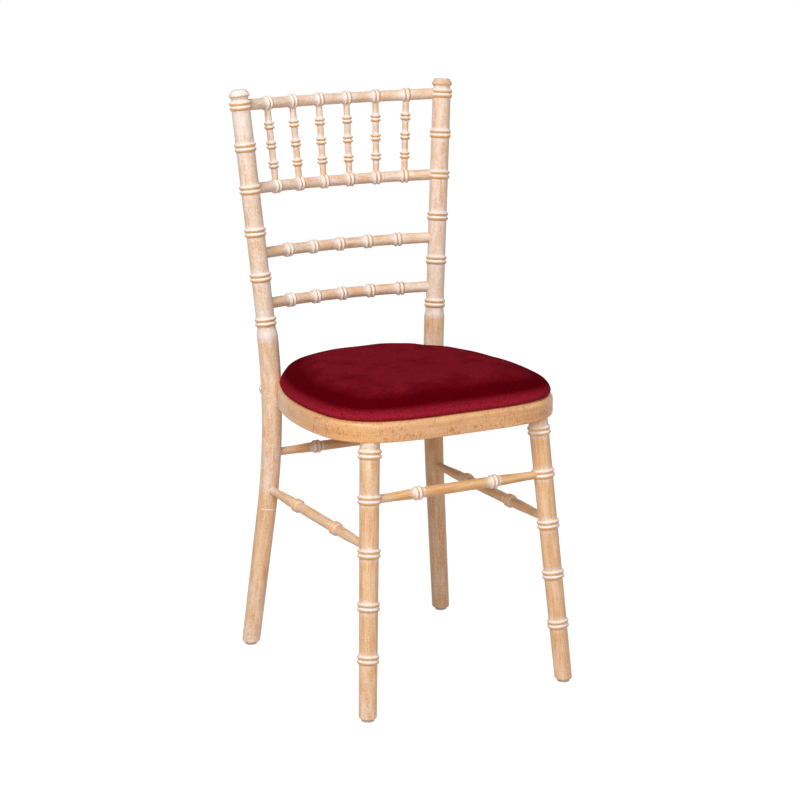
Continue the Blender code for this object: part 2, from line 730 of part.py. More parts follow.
def screw_cutters():
    """Countersunk holes through the panel and into the rebate's floor."""
    holes = []
    for i, place in enumerate(screw_places()):
        radius = SCREW_RADIUS + GAP
        profile = [
            (-SCREW_LENGTH - GAP, radius), (-SCREW_HEAD_HEIGHT - GAP, radius),
            (-GAP, SCREW_HEAD_RADIUS + GAP), (CUT_PAST, SCREW_HEAD_RADIUS + GAP),
        ]
        up = place + Vector((0.0, 0.0, 1.0))
        holes.append(turned("screw_hole_%d" % i, profile, place, up, SPINDLE_SIDES, CUTTERS))
    return holes


def rail_point(share, bow, x):
    """Point of a bowed back rail's axis, a share of the back's run down, at a distance from the chair's middle."""
    end = post_axis(BACK_TOP - BACK_RUN * share)
    radius = (end[0] ** 2 + bow ** 2) / (2 * bow)
    back = bow - radius + math.sqrt(radius ** 2 - x ** 2)
    return Vector((x, end[1] + back, end[2] - POST_RAKE_BACK * back))


def rail_half(share):
    """Distance from the chair's middle to a back rail's hidden end."""
    return post_axis(BACK_TOP - BACK_RUN * share)[0] - TENON_STOP


def ring_places(pitch, count):
    """Even places of ring pairs either side of the middle."""
    return [pitch * (i - (count - 1) / 2) for i in range(count)]


def make_rails(cutters):
    """Four bowed back rails with bamboo rings."""
    rails = []
    for name, (share, bow, pitch, count) in BACK_RAILS.items():
        half = rail_half(share)
        places = ring_places(pitch, count)
        profile = with_rings(
            (-half, half), lambda s: RAIL_RADIUS, places,
            RAIL_BEAD_RISE, RAIL_RIDGE_SPACING, RAIL_FLARE, RAIL_DROP,
        )
        outer = places[-1] + RAIL_RIDGE_SPACING + RAIL_FLARE
        for x in (between(-half, -outer, 0.5), between(outer, half, 0.5)):
            profile.append((x, RAIL_RADIUS))
        profile.sort()
        path = [rail_point(share, bow, x) for x, _ in profile]
        rail = tube(name, path, [radius for _, radius in profile], RAIL_SIDES, PARTS)
        cut(rail, *cutters.get(name, []))
        rails.append(rail)
    return rails


def rail_socket_cutters():
    """Rods along the rails' ends, a gap larger than the rails, that bore the posts."""
    rods = []
    for name, (share, bow, _, _) in BACK_RAILS.items():
        for word, side in SIDES.items():
            far = rail_half(share) + GAP
            spots = [side * (far - run) for run in (0.0, SOCKET_RUN / 2, SOCKET_RUN)]
            path = [rail_point(share, bow, x) for x in spots]
            radii = [RAIL_RADIUS + GAP] * len(path)
            rods.append(tube(name + "_socket_" + word, path, radii, RAIL_SIDES, CUTTERS))
    return rods


def spindle_line(index):
    """Axis points of one spindle on the top rail and on the gallery rail."""
    top_share, top_bow, top_pitch, _ = BACK_RAILS["back_top_rail"]
    low_share, low_bow, low_pitch, _ = BACK_RAILS["back_gallery_rail"]
    place = index - (SPINDLE_COUNT - 1) / 2
    return rail_point(top_share, top_bow, place * top_pitch), rail_point(low_share, low_bow, place * low_pitch)


def make_spindles():
    """Six turned gallery spindles, and the holes that take their ends."""
    spindles = []
    holes = {"back_top_rail": [], "back_gallery_rail": []}
    for i in range(SPINDLE_COUNT):
        top, low = spindle_line(i)
        along = (low - top).normalized()
        start = top + along * SPINDLE_STOP
        end = low - along * SPINDLE_STOP
        length = (end - start).length
        span = (low - top).length
        plain = SPINDLE_PLAIN_RUN - SPINDLE_STOP

        def body(s):
            near = min(s, length - s)
            return between(SPINDLE_END_RADIUS, SPINDLE_RADIUS, smooth((near - plain) / SPINDLE_EASE_RUN))

        rings = [share * span - SPINDLE_STOP for share in SPINDLE_RINGS]
        profile = with_rings(
            (0.0, length), body, rings, SPINDLE_BEAD_RISE, SPINDLE_RIDGE_SPACING, SPINDLE_FLARE, SPINDLE_DROP,
        )
        for s in (plain, length - plain):
            profile.append((s, body(s)))
        profile.sort()
        spindles.append(turned("gallery_spindle_%d" % (i + 1), profile, start, end, SPINDLE_SIDES, PARTS))
        radius = SPINDLE_END_RADIUS + GAP
        reach = along * CUT_PAST
        upper = cylinder("spindle_top_hole_%d" % i, start - along * GAP, start + reach, radius, SPINDLE_SIDES)
        lower = cylinder("spindle_low_hole_%d" % i, end + along * GAP, end - reach, radius, SPINDLE_SIDES)
        holes["back_top_rail"].append(upper)
        holes["back_gallery_rail"].append(lower)
    return spindles, holes


def stretcher_lines():
    """Name, leg axis point at each end, ring shares and the pieces that each end enters."""
    lines = [
        ("stretcher_front", on_side(leg_axis(FRONT_STRETCHER_HEIGHT), -1), leg_axis(FRONT_STRETCHER_HEIGHT),
         FRONT_STRETCHER_RINGS, ("front_leg_left", "front_leg_right")),
        ("stretcher_rear", on_side(post_axis(REAR_STRETCHER_HEIGHT), -1), post_axis(REAR_STRETCHER_HEIGHT),
         REAR_STRETCHER_RINGS, ("rear_post_left", "rear_post_right")),
    ]
    for word, side in SIDES.items():
        lines.append((
            "stretcher_" + word, on_side(post_axis(SIDE_STRETCHER_REAR_HEIGHT), side),
            on_side(leg_axis(SIDE_STRETCHER_FRONT_HEIGHT), side), SIDE_STRETCHER_RINGS,
            ("rear_post_" + word, "front_leg_" + word),
        ))
    return lines


def make_stretchers(pieces):
    """Four turned stretchers, and their sockets in legs and posts."""
    stretchers = []
    for name, first, last, shares, (first_host, last_host) in stretcher_lines():
        along = (last - first).normalized()
        start = first + along * TENON_STOP
        end = last - along * TENON_STOP
        length = (end - start).length
        span = (last - first).length

        def body(s):
            near = min(s, length - s)
            share = smooth((near - STRETCHER_TENON_RUN) / STRETCHER_SWELL_RUN)
            return between(STRETCHER_END_RADIUS, STRETCHER_RADIUS, share)

        rings = [share * span - TENON_STOP for share in shares]
        profile = with_rings(
            (0.0, length), body, rings, STRETCHER_BEAD_RISE, RAIL_RIDGE_SPACING, RAIL_FLARE, RAIL_DROP,
        )
        for s in (STRETCHER_TENON_RUN, length / 2, length - STRETCHER_TENON_RUN):
            profile.append((s, body(s)))
        profile.sort()
        stretchers.append(turned(name, profile, start, end, RAIL_SIDES, PARTS))
        radius = STRETCHER_END_RADIUS + GAP
        reach = along * STRETCHER_TENON_RUN
        near = cylinder(name + "_first_socket", start - along * GAP, start + reach, radius)
        far = cylinder(name + "_last_socket", end + along * GAP, end - reach, radius)
        cut(pieces[first_host], near)
        cut(pieces[last_host], far)
    return stretchers


def pad_plan(inset, step=17.0, run=0.075, halved=True):
    """Pad outline: the ring's own, drawn in a little, and further at the back to clear the posts.

    halved puts a point in the middle of the straight runs at the front and the back.
    """
    plan = seat_plan(0.0, step, run)
    if halved:
        back = len(plan) // 2
        plan = plan[:back] + [((0.0, plan[back][0][1]), math.pi)] + plan[back:] + [((0.0, plan[0][0][1]), 0.0)]
    points = []
    for (x, y), heading in plan:
        turn = math.degrees(min(heading, 2 * math.pi - heading))
        ease = smooth((turn - PAD_EASE_START) / (PAD_EASE_END - PAD_EASE_START))
        draw = inset + between(PAD_INSET, POST_LET_IN + PAD_POST_CLEARANCE, ease)
        out = outward(heading)
        points.append((x - out[0] * draw, y - out[1] * draw))
    return points


def pad_height(share):
    """Height of the pad's crown, from its widest line (0) to its middle (1)."""
    rise = (1.0 - (1.0 - share) ** PAD_FLATNESS) ** (1.0 / PAD_ROUNDNESS)
    return RING_TOP + GAP + PAD_WIDEST_HEIGHT + PAD_RISE * rise


def make_pad():
    """Upholstered pad with a crown and drawn-in sides, on a plywood board, held by hook-and-loop patches."""
    base = RING_TOP + GAP
    centre = Vector((0.0, max(y for _, y in pad_plan(0.0)) / 2, 0.0))
    widest = pad_plan(0.0)
    rows = [[(x, y, base) for x, y in pad_plan(PAD_UNDER_INSET)]]
    for up, draw in PAD_EDGE_CURVE:
        rows.append([(x, y, base + PAD_WIDEST_HEIGHT * up) for x, y in pad_plan(PAD_EDGE_DRAW * draw)])
    for share in PAD_CROWN_SHARES:
        rows.append([(x * (1 - share), between(y, centre[1], share), pad_height(share)) for x, y in widest])
    shape = bmesh.new()
    loops = [[shape.verts.new(point) for point in row] for row in rows]
    for lower, upper in zip(loops, loops[1:]):
        for i in range(len(lower)):
            j = (i + 1) % len(lower)
            shape.faces.new((lower[i], lower[j], upper[j], upper[i]))
    under = shape.verts.new((centre[0], centre[1], base))
    over = shape.verts.new((centre[0], centre[1], pad_height(1.0)))
    for i in range(len(loops[0])):
        j = (i + 1) % len(loops[0])
        shape.faces.new((under, loops[0][j], loops[0][i]))
        shape.faces.new((over, loops[-1][i], loops[-1][j]))
    mesh = bpy.data.meshes.new("seat_pad")
    shape.to_mesh(mesh)
    shape.free()
    pad = add_object("seat_pad", mesh, PARTS)
    soften = pad.modifiers.new("soften", "SUBSURF")
    soften.levels = 1
    soften.render_levels = 1
    board_low = base + 2 * PATCH_THICKNESS + 2 * GAP
    board_high = board_low + PAD_BOARD_THICKNESS
    pocket_plan = pad_plan(PAD_BOARD_INSET - GAP, halved=False)
    cut(pad, slab("pad_pocket", pocket_plan, base - CUT_PAST, board_high + GAP, CUTTERS))
    board = slab("pad_board", pad_plan(PAD_BOARD_INSET, halved=False), board_low, board_high, PARTS)
    hooks = []
    loops = []
    for place, (side, y) in PATCH_PLACES.items():
        x = side * PATCH_OUT
        hooks.append(square("hook_patch_" + place, (x, y, RING_TOP + GAP), PATCH_SIZE, PATCH_THICKNESS))
        low = board_low - GAP - PATCH_THICKNESS
        loops.append(square("loop_patch_" + place, (x, y, low), PATCH_SIZE, PATCH_THICKNESS))
    return [pad, board] + loops, hooks


def square(name, place, size, thickness):
    """A thin square that stands on the given place."""
    shape = bmesh.new()
    bmesh.ops.create_cube(shape, size=1.0)
    bmesh.ops.scale(shape, vec=(size, size, thickness), verts=shape.verts)
    mesh = bpy.data.meshes.new(name)
    shape.to_mesh(mesh)
    shape.free()
    item = add_object(name, mesh, PARTS)
    item.location = (place[0], place[1], place[2] + thickness / 2)
    return item


def freeze(pieces):
    """Keep each piece as the finished mesh of its modifiers, shaded smooth up to its sharp edges."""
    bpy.context.view_layer.update()
    graph = bpy.context.evaluated_depsgraph_get()
    finished = [(piece, bpy.data.meshes.new_from_object(piece.evaluated_get(graph))) for piece in pieces]
    for piece, mesh in finished:
        piece.modifiers.clear()
        piece.data = mesh
        mesh.name = piece.name
        mesh.shade_smooth()
        mesh.set_sharp_from_angle(angle=math.radians(SHARP_ANGLE))


def paint(pieces):
    """Give each piece its material."""
    limed = material("limed_beech", "E3C6A6", 0.55)
    beech = material("lacquered_beech", "DDAE79", 0.35)
    birch = material("birch_plywood", "D9BE93", 0.6)
    velour = material("burgundy_velour", "740F1C", 0.9)
    steel = material("zinc_plated_steel", "B9BABB", 0.35, 1.0)
    nylon = material("grey_nylon", "C9C9C6", 0.5)
    tape = material("hook_and_loop_tape", "20201F", 0.95)
    by_start = {
        "seat_ring": beech, "seat_panel": birch, "pad_board": birch, "seat_pad": velour, "glide": nylon,
        "post_bolt": steel, "bolt_": steel, "panel_screw": steel, "hook_": tape, "loop_": tape,
    }
    for piece in pieces:
        chosen = limed
        for start, candidate in by_start.items():
            if piece.name.startswith(start):
                chosen = candidate
        piece.data.materials.clear()
        piece.data.materials.append(chosen)


def centre_chair(pieces, pad_pieces):
    """Hang everything on one empty, and move it so that the chair's footprint is centred on the origin."""
    bpy.context.view_layer.update()
    depths = [(piece.matrix_world @ vert.co).y for piece in pieces + pad_pieces for vert in piece.data.vertices]
    frame = add_object("chair", None, PARTS)
    lift = add_object("pad_lift", None, PARTS)
    lift.location = (0.0, (PATCH_FORWARD + PATCH_BACK) / 2, RING_TOP)
    lift.parent = frame
    bpy.context.view_layer.update()
    for piece in pieces:
        piece.parent = frame
    for piece in pad_pieces:
        piece.parent = lift
        piece.matrix_parent_inverse = lift.matrix_world.inverted()
    for cutter in CUTTERS.objects:
        cutter.parent = frame
    frame.location.y = -(min(depths) + max(depths)) / 2


def main():
    """Build the chair."""
    clear_scene()
    notch_plan = [point for point, _ in seat_plan(-GAP)]
    cutters = {
        "screws": screw_cutters(),
        "rails": rail_socket_cutters(),
        "seat": slab("seat_notch", notch_plan, SEAT_UNDERSIDE - GAP, RING_TOP + GAP, CUTTERS),
    }
    for word, side in SIDES.items():
        cutters["bolt_" + word] = bolt_cutters(word, side)
    posts = make_posts(cutters)
    legs = make_front_legs()
    hosts = {post.name: post for post in posts.values()}
    hosts.update({leg.name: leg for leg in legs.values()})
    spindles, spindle_holes = make_spindles()
    cutters.update(spindle_holes)
    rails = make_rails(cutters)
    stretchers = make_stretchers(hosts)
    ring = make_seat_ring(cutters)
    glides = []
    for word, side in SIDES.items():
        glides.append(make_glide("glide_front_" + word, on_side(leg_axis(FOOT_HEIGHT), side)))
        glides.append(make_glide("glide_rear_" + word, on_side(post_axis(FOOT_HEIGHT), side)))
    chair = list(hosts.values()) + [ring] + make_panel(cutters) + rails + spindles + stretchers + glides
    chair += make_bolts()
    pad, hooks = make_pad()
    chair += hooks
    freeze(chair + pad)
    paint(chair + pad)
    centre_chair(chair, pad)


main()
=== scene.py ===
"""Banqueting chair with seat pad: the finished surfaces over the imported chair, and the studio that shows it.

Metres, +Z up. The chair faces -Y, and its left-hand pieces are those at -X, the photograph's left.
"""

import logging
import math
from collections.abc import Callable, Sequence
from dataclasses import dataclass, field
from enum import Enum

import bpy
import numpy as np
from mathutils import Matrix, Vector


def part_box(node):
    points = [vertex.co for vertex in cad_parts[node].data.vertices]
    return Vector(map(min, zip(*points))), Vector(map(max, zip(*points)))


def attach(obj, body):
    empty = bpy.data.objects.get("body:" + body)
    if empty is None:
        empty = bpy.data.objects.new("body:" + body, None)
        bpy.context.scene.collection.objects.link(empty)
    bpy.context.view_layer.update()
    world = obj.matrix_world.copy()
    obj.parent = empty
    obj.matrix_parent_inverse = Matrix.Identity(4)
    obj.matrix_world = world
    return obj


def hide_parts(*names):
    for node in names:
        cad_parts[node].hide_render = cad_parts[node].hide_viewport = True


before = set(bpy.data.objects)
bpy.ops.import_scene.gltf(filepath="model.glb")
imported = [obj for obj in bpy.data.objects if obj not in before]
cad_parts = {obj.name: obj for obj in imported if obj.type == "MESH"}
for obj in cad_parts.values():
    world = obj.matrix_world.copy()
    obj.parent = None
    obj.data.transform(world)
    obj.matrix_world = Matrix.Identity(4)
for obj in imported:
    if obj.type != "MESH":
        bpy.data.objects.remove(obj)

LOG = logging.getLogger("banqueting_chair")
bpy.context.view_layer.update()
MM = 0.001
GAP = 0.3 * MM
CHAIR_BODY = "chair"
PAD_BODY = "pad"
WHITE = (1.0, 1.0, 1.0, 1.0)
Y_AXIS = np.array((0.0, 1.0, 0.0))
Z_AXIS = np.array((0.0, 0.0, 1.0))
NO_TRIANGLES = np.zeros((0, 3), int)
Triple = tuple[float, float, float]
Knots = Sequence[tuple[float, float]]
Socket = bpy.types.NodeSocket


class Side(Enum):
    """The chair's two sides, with the sign of X on each."""

    LEFT = -1
    RIGHT = 1

    @property
    def word(self) -> str:
        """Ending of the side's node names."""
        return self.name.lower()


# Numbers and colours


def linear(hex_colour: str) -> tuple[float, float, float, float]:
    """Turn an sRGB colour into linear RGBA.

    Args:
        hex_colour: six hex digits.

    Returns:
        The linear colour, fully opaque.
    """
    channels = [int(hex_colour[i:i + 2], 16) / 255.0 for i in (0, 2, 4)]
    red, green, blue = (c / 12.92 if c <= 0.04045 else ((c + 0.055) / 1.055) ** 2.4 for c in channels)
    return red, green, blue, 1.0


def ease(share: np.ndarray) -> np.ndarray:
    """Smooth step from 0 to 1: 3s^2 - 2s^3, with s held between 0 and 1."""
    held = np.clip(share, 0.0, 1.0)
    return held * held * (3.0 - 2.0 * held)


def blur(values: np.ndarray, width: float) -> np.ndarray:
    """Gaussian blur of evenly spaced values.

    Args:
        values: the values.
        width: standard deviation, in steps.

    Returns:
        Blurred values of the same length, with the end values carried outwards.
    """
    reach = int(math.ceil(3.0 * width))
    steps = np.arange(-reach, reach + 1)
    weights = np.exp(-0.5 * (steps / width) ** 2)
    return np.convolve(np.pad(values, reach, mode="edge"), weights / weights.sum(), mode="valid")


def unit(vectors: np.ndarray) -> np.ndarray:
    """Vectors along the last axis, each scaled to length 1."""
    return vectors / np.linalg.norm(vectors, axis=-1, keepdims=True)


def outward(heading: np.ndarray) -> np.ndarray:
    """Direction out of the seat in plan, (sin h, -cos h), where its outline runs at heading h."""
    return np.stack((np.sin(heading), -np.cos(heading)), axis=-1)


def through(knots: Knots, at: np.ndarray) -> np.ndarray:
    """Values at the given places on straight runs through (place, value) knots."""
    return np.interp(at, *zip(*knots))


def spokes(tangent: np.ndarray, aside: np.ndarray, around: int) -> tuple[np.ndarray, np.ndarray]:
    """Directions round an axis: cos a U + sin a V, with U and V square to it.

    Args:
        tangent: (n, 3) directions of the axis.
        aside: a direction well away from it, towards which U points.
        around: directions in a turn.

    Returns:
        (around,) angles a and (n, around, 3) directions.
    """
    u = unit(aside - tangent * (tangent @ aside)[:, None])
    v = np.cross(tangent, u)
    angle = np.linspace(0.0, 2 * math.pi, around, endpoint=False)
    return angle, np.cos(angle)[None, :, None] * u[:, None] + np.sin(angle)[None, :, None] * v[:, None]


# Meshes from whole arrays


def surface(name: str, points: np.ndarray, quads: np.ndarray, triangles: np.ndarray) -> bpy.types.Object:
    """Make a smooth-shaded mesh object at the origin.

    Args:
        name: the object's name.
        points: (n, 3) places of its points.
        quads: (q, 4) corners of its four-sided faces.
        triangles: (t, 3) corners of its triangles.

    Returns:
        The object, linked to the scene.
    """
    mesh = bpy.data.meshes.new(name)
    mesh.vertices.add(len(points))
    mesh.vertices.foreach_set("co", points.astype(np.float32).ravel())
    corners = np.concatenate((quads.ravel(), triangles.ravel())).astype(np.int32)
    mesh.loops.add(len(corners))
    mesh.loops.foreach_set("vertex_index", corners)
    starts = np.concatenate((np.arange(len(quads)) * 4, len(quads) * 4 + np.arange(len(triangles)) * 3))
    mesh.polygons.add(len(starts))
    mesh.polygons.foreach_set("loop_start", starts.astype(np.int32))
    mesh.update(calc_edges=True)
    mesh.shade_smooth()
    made = bpy.data.objects.new(name, mesh)
    bpy.context.scene.collection.objects.link(made)
    return made


def note(piece: bpy.types.Object, name: str, values: np.ndarray) -> None:
    """Store a number or a vector at each point of a piece, for its material.

    Args:
        piece: the mesh object.
        name: the attribute's name.
        values: (n,) numbers or (n, 3) vectors.
    """
    kind, slot = ("FLOAT", "value") if values.ndim == 1 else ("FLOAT_VECTOR", "vector")
    attribute = piece.data.attributes.new(name=name, type=kind, domain="POINT")
    attribute.data.foreach_set(slot, values.astype(np.float32).ravel())


def at_points(mesh: bpy.types.Mesh, what: str = "co") -> np.ndarray:
    """Read something of each point of a mesh.

    Args:
        mesh: the mesh.
        what: "co" for the points' places, or "normal" for their normals.

    Returns:
        (n, 3) vectors.
    """
    values = np.empty(len(mesh.vertices) * 3, np.float32)
    mesh.vertices.foreach_get(what, values)
    return values.reshape(-1, 3)


def skin(rows: int, around: int) -> np.ndarray:
    """Quads of an open tube of points, which is closed round each row.

    Args:
        rows: number of rows.
        around: points in a row.

    Returns:
        (q, 4) corners, row by row.
    """
    row, turn = np.meshgrid(np.arange(rows - 1), np.arange(around), indexing="ij")
    after = (turn + 1) % around
    return np.stack((row * around + turn, row * around + after, (row + 1) * around + after,
                     (row + 1) * around + turn), axis=-1).reshape(-1, 4)


def capped(name: str, rings: np.ndarray, first: np.ndarray, last: np.ndarray) -> bpy.types.Object:
    """Close a stack of rings of points with a pole at each end.

    Args:
        name: the object's name.
        rings: (rows, around, 3) points, turning anticlockwise about the way from the first row to the last.
        first: pole before the first row.
        last: pole after the last row.

    Returns:
        The closed object. Its points are the rings in order, then the two poles.
    """
    rows, around, _ = rings.shape
    points = np.concatenate((rings.reshape(-1, 3), first[None], last[None]))
    turn = np.arange(around)
    after = (turn + 1) % around
    low = np.stack((np.full(around, rows * around), after, turn), axis=-1)
    top = (rows - 1) * around
    high = np.stack((np.full(around, rows * around + 1), top + turn, top + after), axis=-1)
    return surface(name, points, skin(rows, around), np.concatenate((low, high)))


# Shader nodes


def feed(tree: bpy.types.NodeTree, made: bpy.types.Node, inputs: dict) -> None:
    """Set a node's inputs, and link those whose value is an output.

    Args:
        tree: the material's or world's node tree.
        made: the node.
        inputs: socket names or numbers, and values.
    """
    for key, value in inputs.items():
        if isinstance(value, bpy.types.NodeSocket):
            tree.links.new(value, made.inputs[key])
        else:
            made.inputs[key].default_value = value


def node(tree: bpy.types.NodeTree, kind: str, inputs: dict | None = None, **settings: object) -> bpy.types.Node:
    """Add one shader node.

    Args:
        tree: the material's or world's node tree.
        kind: the node's type, without "ShaderNode".
        inputs: its inputs, as feed takes them.
        settings: the node's own settings.

    Returns:
        The node.
    """
    made = tree.nodes.new("ShaderNode" + kind)
    for name, value in settings.items():
        setattr(made, name, value)
    feed(tree, made, inputs or {})
    return made


def by_ray(tree: bpy.types.NodeTree, lit: Socket, seen: Socket) -> Socket:
    """Two shaders in one.

    Args:
        tree: the material's or world's node tree.
        lit: the shader that lights the chair.
        seen: the shader that the eye meets, straight, in a reflection or through something clear.

    Returns:
        The shader's output.
    """
    rays = node(tree, "LightPath").outputs
    eye = rays["Is Camera Ray"]
    for kind in ("Is Glossy Ray", "Is Transmission Ray"):
        eye = node(tree, "Math", {0: eye, 1: rays[kind]}, operation="MAXIMUM").outputs[0]
    return node(tree, "MixShader", {0: eye, 1: lit, 2: seen}).outputs[0]


@dataclass(frozen=True)
class Painter:
    """One material's node tree, with the few kinds of node that the finishes are made of."""

    tree: bpy.types.NodeTree

    def read(self, name: str, output: str) -> Socket:
        """A piece's own attribute."""
        return node(self.tree, "Attribute", attribute_name=name).outputs[output]

    def place(self) -> Socket:
        """The piece's own coordinates."""
        return node(self.tree, "TexCoord").outputs["Object"]

    def math(self, operation: str, *terms: Socket | float) -> Socket:
        """Result of one operation on numbers."""
        return node(self.tree, "Math", dict(enumerate(terms)), operation=operation).outputs[0]

    def part(self, vector: Socket, axis: int) -> Socket:
        """One component of a vector."""
        return node(self.tree, "SeparateXYZ", {0: vector}).outputs[axis]

    def span(self, value: Socket, low: float, high: float, first: float = 0.0, last: float = 1.0) -> Socket:
        """A number carried evenly from the range low to high on to first to last, and held there."""
        return node(self.tree, "MapRange", {"Value": value, "From Min": low, "From Max": high, "To Min": first,
                                            "To Max": last}).outputs[0]

    def mix(self, share: Socket, colour: Socket | str, other: Socket | str) -> Socket:
        """Colour between two, each an output or six hex digits."""
        ends = [linear(end) if isinstance(end, str) else end for end in (colour, other)]
        return node(self.tree, "Mix", {0: share, 6: ends[0], 7: ends[1]}, data_type="RGBA").outputs[2]

    def ramp(self, share: Socket, stops: Sequence[tuple[float, str]]) -> Socket:
        """Colour from a row of stops.

        Args:
            share: place in the row, from 0 to 1.
            stops: two or more places with six hex digits each.

        Returns:
            The colour.
        """
        made = node(self.tree, "ValToRGB", {"Fac": share})
        elements = made.color_ramp.elements
        while len(elements) < len(stops):
            elements.new(0.5)
        for element, (place, colour) in zip(elements, stops):
            element.position = place
            element.color = linear(colour)
        return made.outputs[0]

    def clouds(self, place: Socket, size_mm: Sequence[float], detail: float = 2.0) -> Socket:
        """Cloudy noise of a stated size.

        Args:
            place: the coordinates that carry the pattern, in metres.
            size_mm: size of the clouds along each of the three coordinates, in millimetres.
            detail: octaves of finer noise on it.

        Returns:
            The noise, from 0 to 1.
        """
        scale = tuple(1000.0 / size for size in size_mm)
        scaled = node(self.tree, "VectorMath", {0: place, 1: scale}, operation="MULTIPLY").outputs[0]
        return node(self.tree, "TexNoise", {"Vector": scaled, "Scale": 1.0, "Detail": detail,
                                            "Roughness": 0.55}).outputs[0]

    def swing(self, cloud: Socket, reach: float) -> Socket:
        """Noise as a swing either side of nothing, of the given reach where it leaves its middle by 0.18."""
        return self.span(cloud, 0.32, 0.68, -reach, reach)

    def finish(self, inputs: dict, height: Socket, strength: float, depth_mm: float) -> None:
        """Set the Principled shader.

        Args:
            inputs: its inputs, as feed takes them.
            height: height of the relief, from 0 to 1.
            strength: share of the relief that shows.
            depth_mm: depth of the relief in millimetres.
        """
        bump = node(self.tree, "Bump", {"Strength": strength, "Distance": depth_mm * MM, "Height": height}).outputs[0]
        feed(self.tree, self.tree.nodes["Principled BSDF"], {**inputs, "Normal": bump})


@dataclass(frozen=True)
class Finish:
    """A named finish with one Principled shader, which each kind of finish paints in its own way."""

    name: str

    def make(self) -> bpy.types.Material:
        """Build the material.

        Returns:
            The finished material.
        """
        made = bpy.data.materials.new(self.name)
        made.use_nodes = True
        self.paint(Painter(made.node_tree))
        return made

    def paint(self, to: Painter) -> None:
        """Add the finish's nodes."""
        raise NotImplementedError


@dataclass(frozen=True)
class LimedBeech(Finish):
    """Turned beech, rubbed with a thin limewash.

    The wash stays in the grooves and fills the pores, so the colour turns from near white in the grooves to bare
    golden wood on the ridges, with fine streaks along the grain. Sizes of patterns run across the piece twice, then
    along it.
    """

    name: str = "limewashed turned beech"
    wood_pale: str = "EAC28E"
    wood_deep: str = "DCA164"
    ridge: str = "E6B27A"
    # line: colour of the dark line under each bead, partly dirt and partly painted shadow
    line: str = "9A6038"
    pore: str = "C4864F"
    wash: str = "F5EEEA"
    streak_mm: Triple = (1.8, 1.8, 40.0)
    band_mm: Triple = (8.0, 8.0, 70.0)
    dash_mm: Triple = (1.3, 1.3, 3.0)
    patch_mm: Triple = (9.0, 9.0, 26.0)
    mottle_mm: Triple = (2.1, 2.1, 2.3)
    thread_mm: Triple = (1.5, 1.5, 26.0)
    patch_reach: float = 0.90
    mottle_reach: float = 1.0
    thread_reach: float = 0.09
    fullest: float = 0.97
    bare_roughness: float = 0.42
    wash_roughness: float = 0.62

    def paint(self, to: Painter) -> None:
        """Add the finish's nodes, which read the pieces' attributes "grain" and "white".

        Args:
            to: the painter of its material.
        """
        grain, white = to.read("grain", "Vector"), to.read("white", "Fac")
        # Growth lines: fine streaks over broad bands
        streak = to.clouds(grain, self.streak_mm, 3.0)
        tone = to.math("ADD", streak, to.clouds(grain, self.band_mm))
        wood = to.mix(to.span(tone, 0.84, 1.16), self.wood_pale, self.wood_deep)
        # Ray flecks and pores, drawn coarse so that they show
        dash = to.span(to.clouds(grain, self.dash_mm, 1.0), 0.52, 0.74, 0.0, 0.5)
        wood = to.mix(dash, wood, self.pore)
        # The crests of the rings, where white is below nothing, are rubbed back to golden wood, and at the foot of
        # each is a dark line that is partly dirt and partly a painted shadow under the bead
        wood = to.mix(to.span(white, 0.0, -0.3, 0.0, 0.8), wood, self.ridge)
        wood = to.mix(to.span(white, -0.4, -0.9, 0.0, 0.7), wood, self.line)
        # The wash is broken up by patches and by a mottle, where the pores took it up unevenly, both strongest where
        # it lies half thick, and everywhere a little by threads along the grain
        patch = to.swing(to.clouds(grain, self.patch_mm), self.patch_reach)
        mottle = to.swing(to.clouds(grain, self.mottle_mm, 1.0), self.mottle_reach)
        thread = to.swing(to.clouds(grain, self.thread_mm), self.thread_reach)
        half_thick = to.math("MULTIPLY", white, to.math("SUBTRACT", 1.0, white))
        half_thick = to.math("MAXIMUM", half_thick, 0.0)
        amount = to.math("MULTIPLY_ADD", to.math("ADD", patch, mottle), half_thick, white)
        amount = to.span(to.math("ADD", amount, thread), 0.0, 1.0, 0.0, self.fullest)
        to.finish({
            "Base Color": to.mix(amount, wood, self.wash),
            "Roughness": to.span(amount, 0.0, 1.0, self.bare_roughness, self.wash_roughness),
        }, to.math("ADD", streak, dash), 0.35, 0.15)


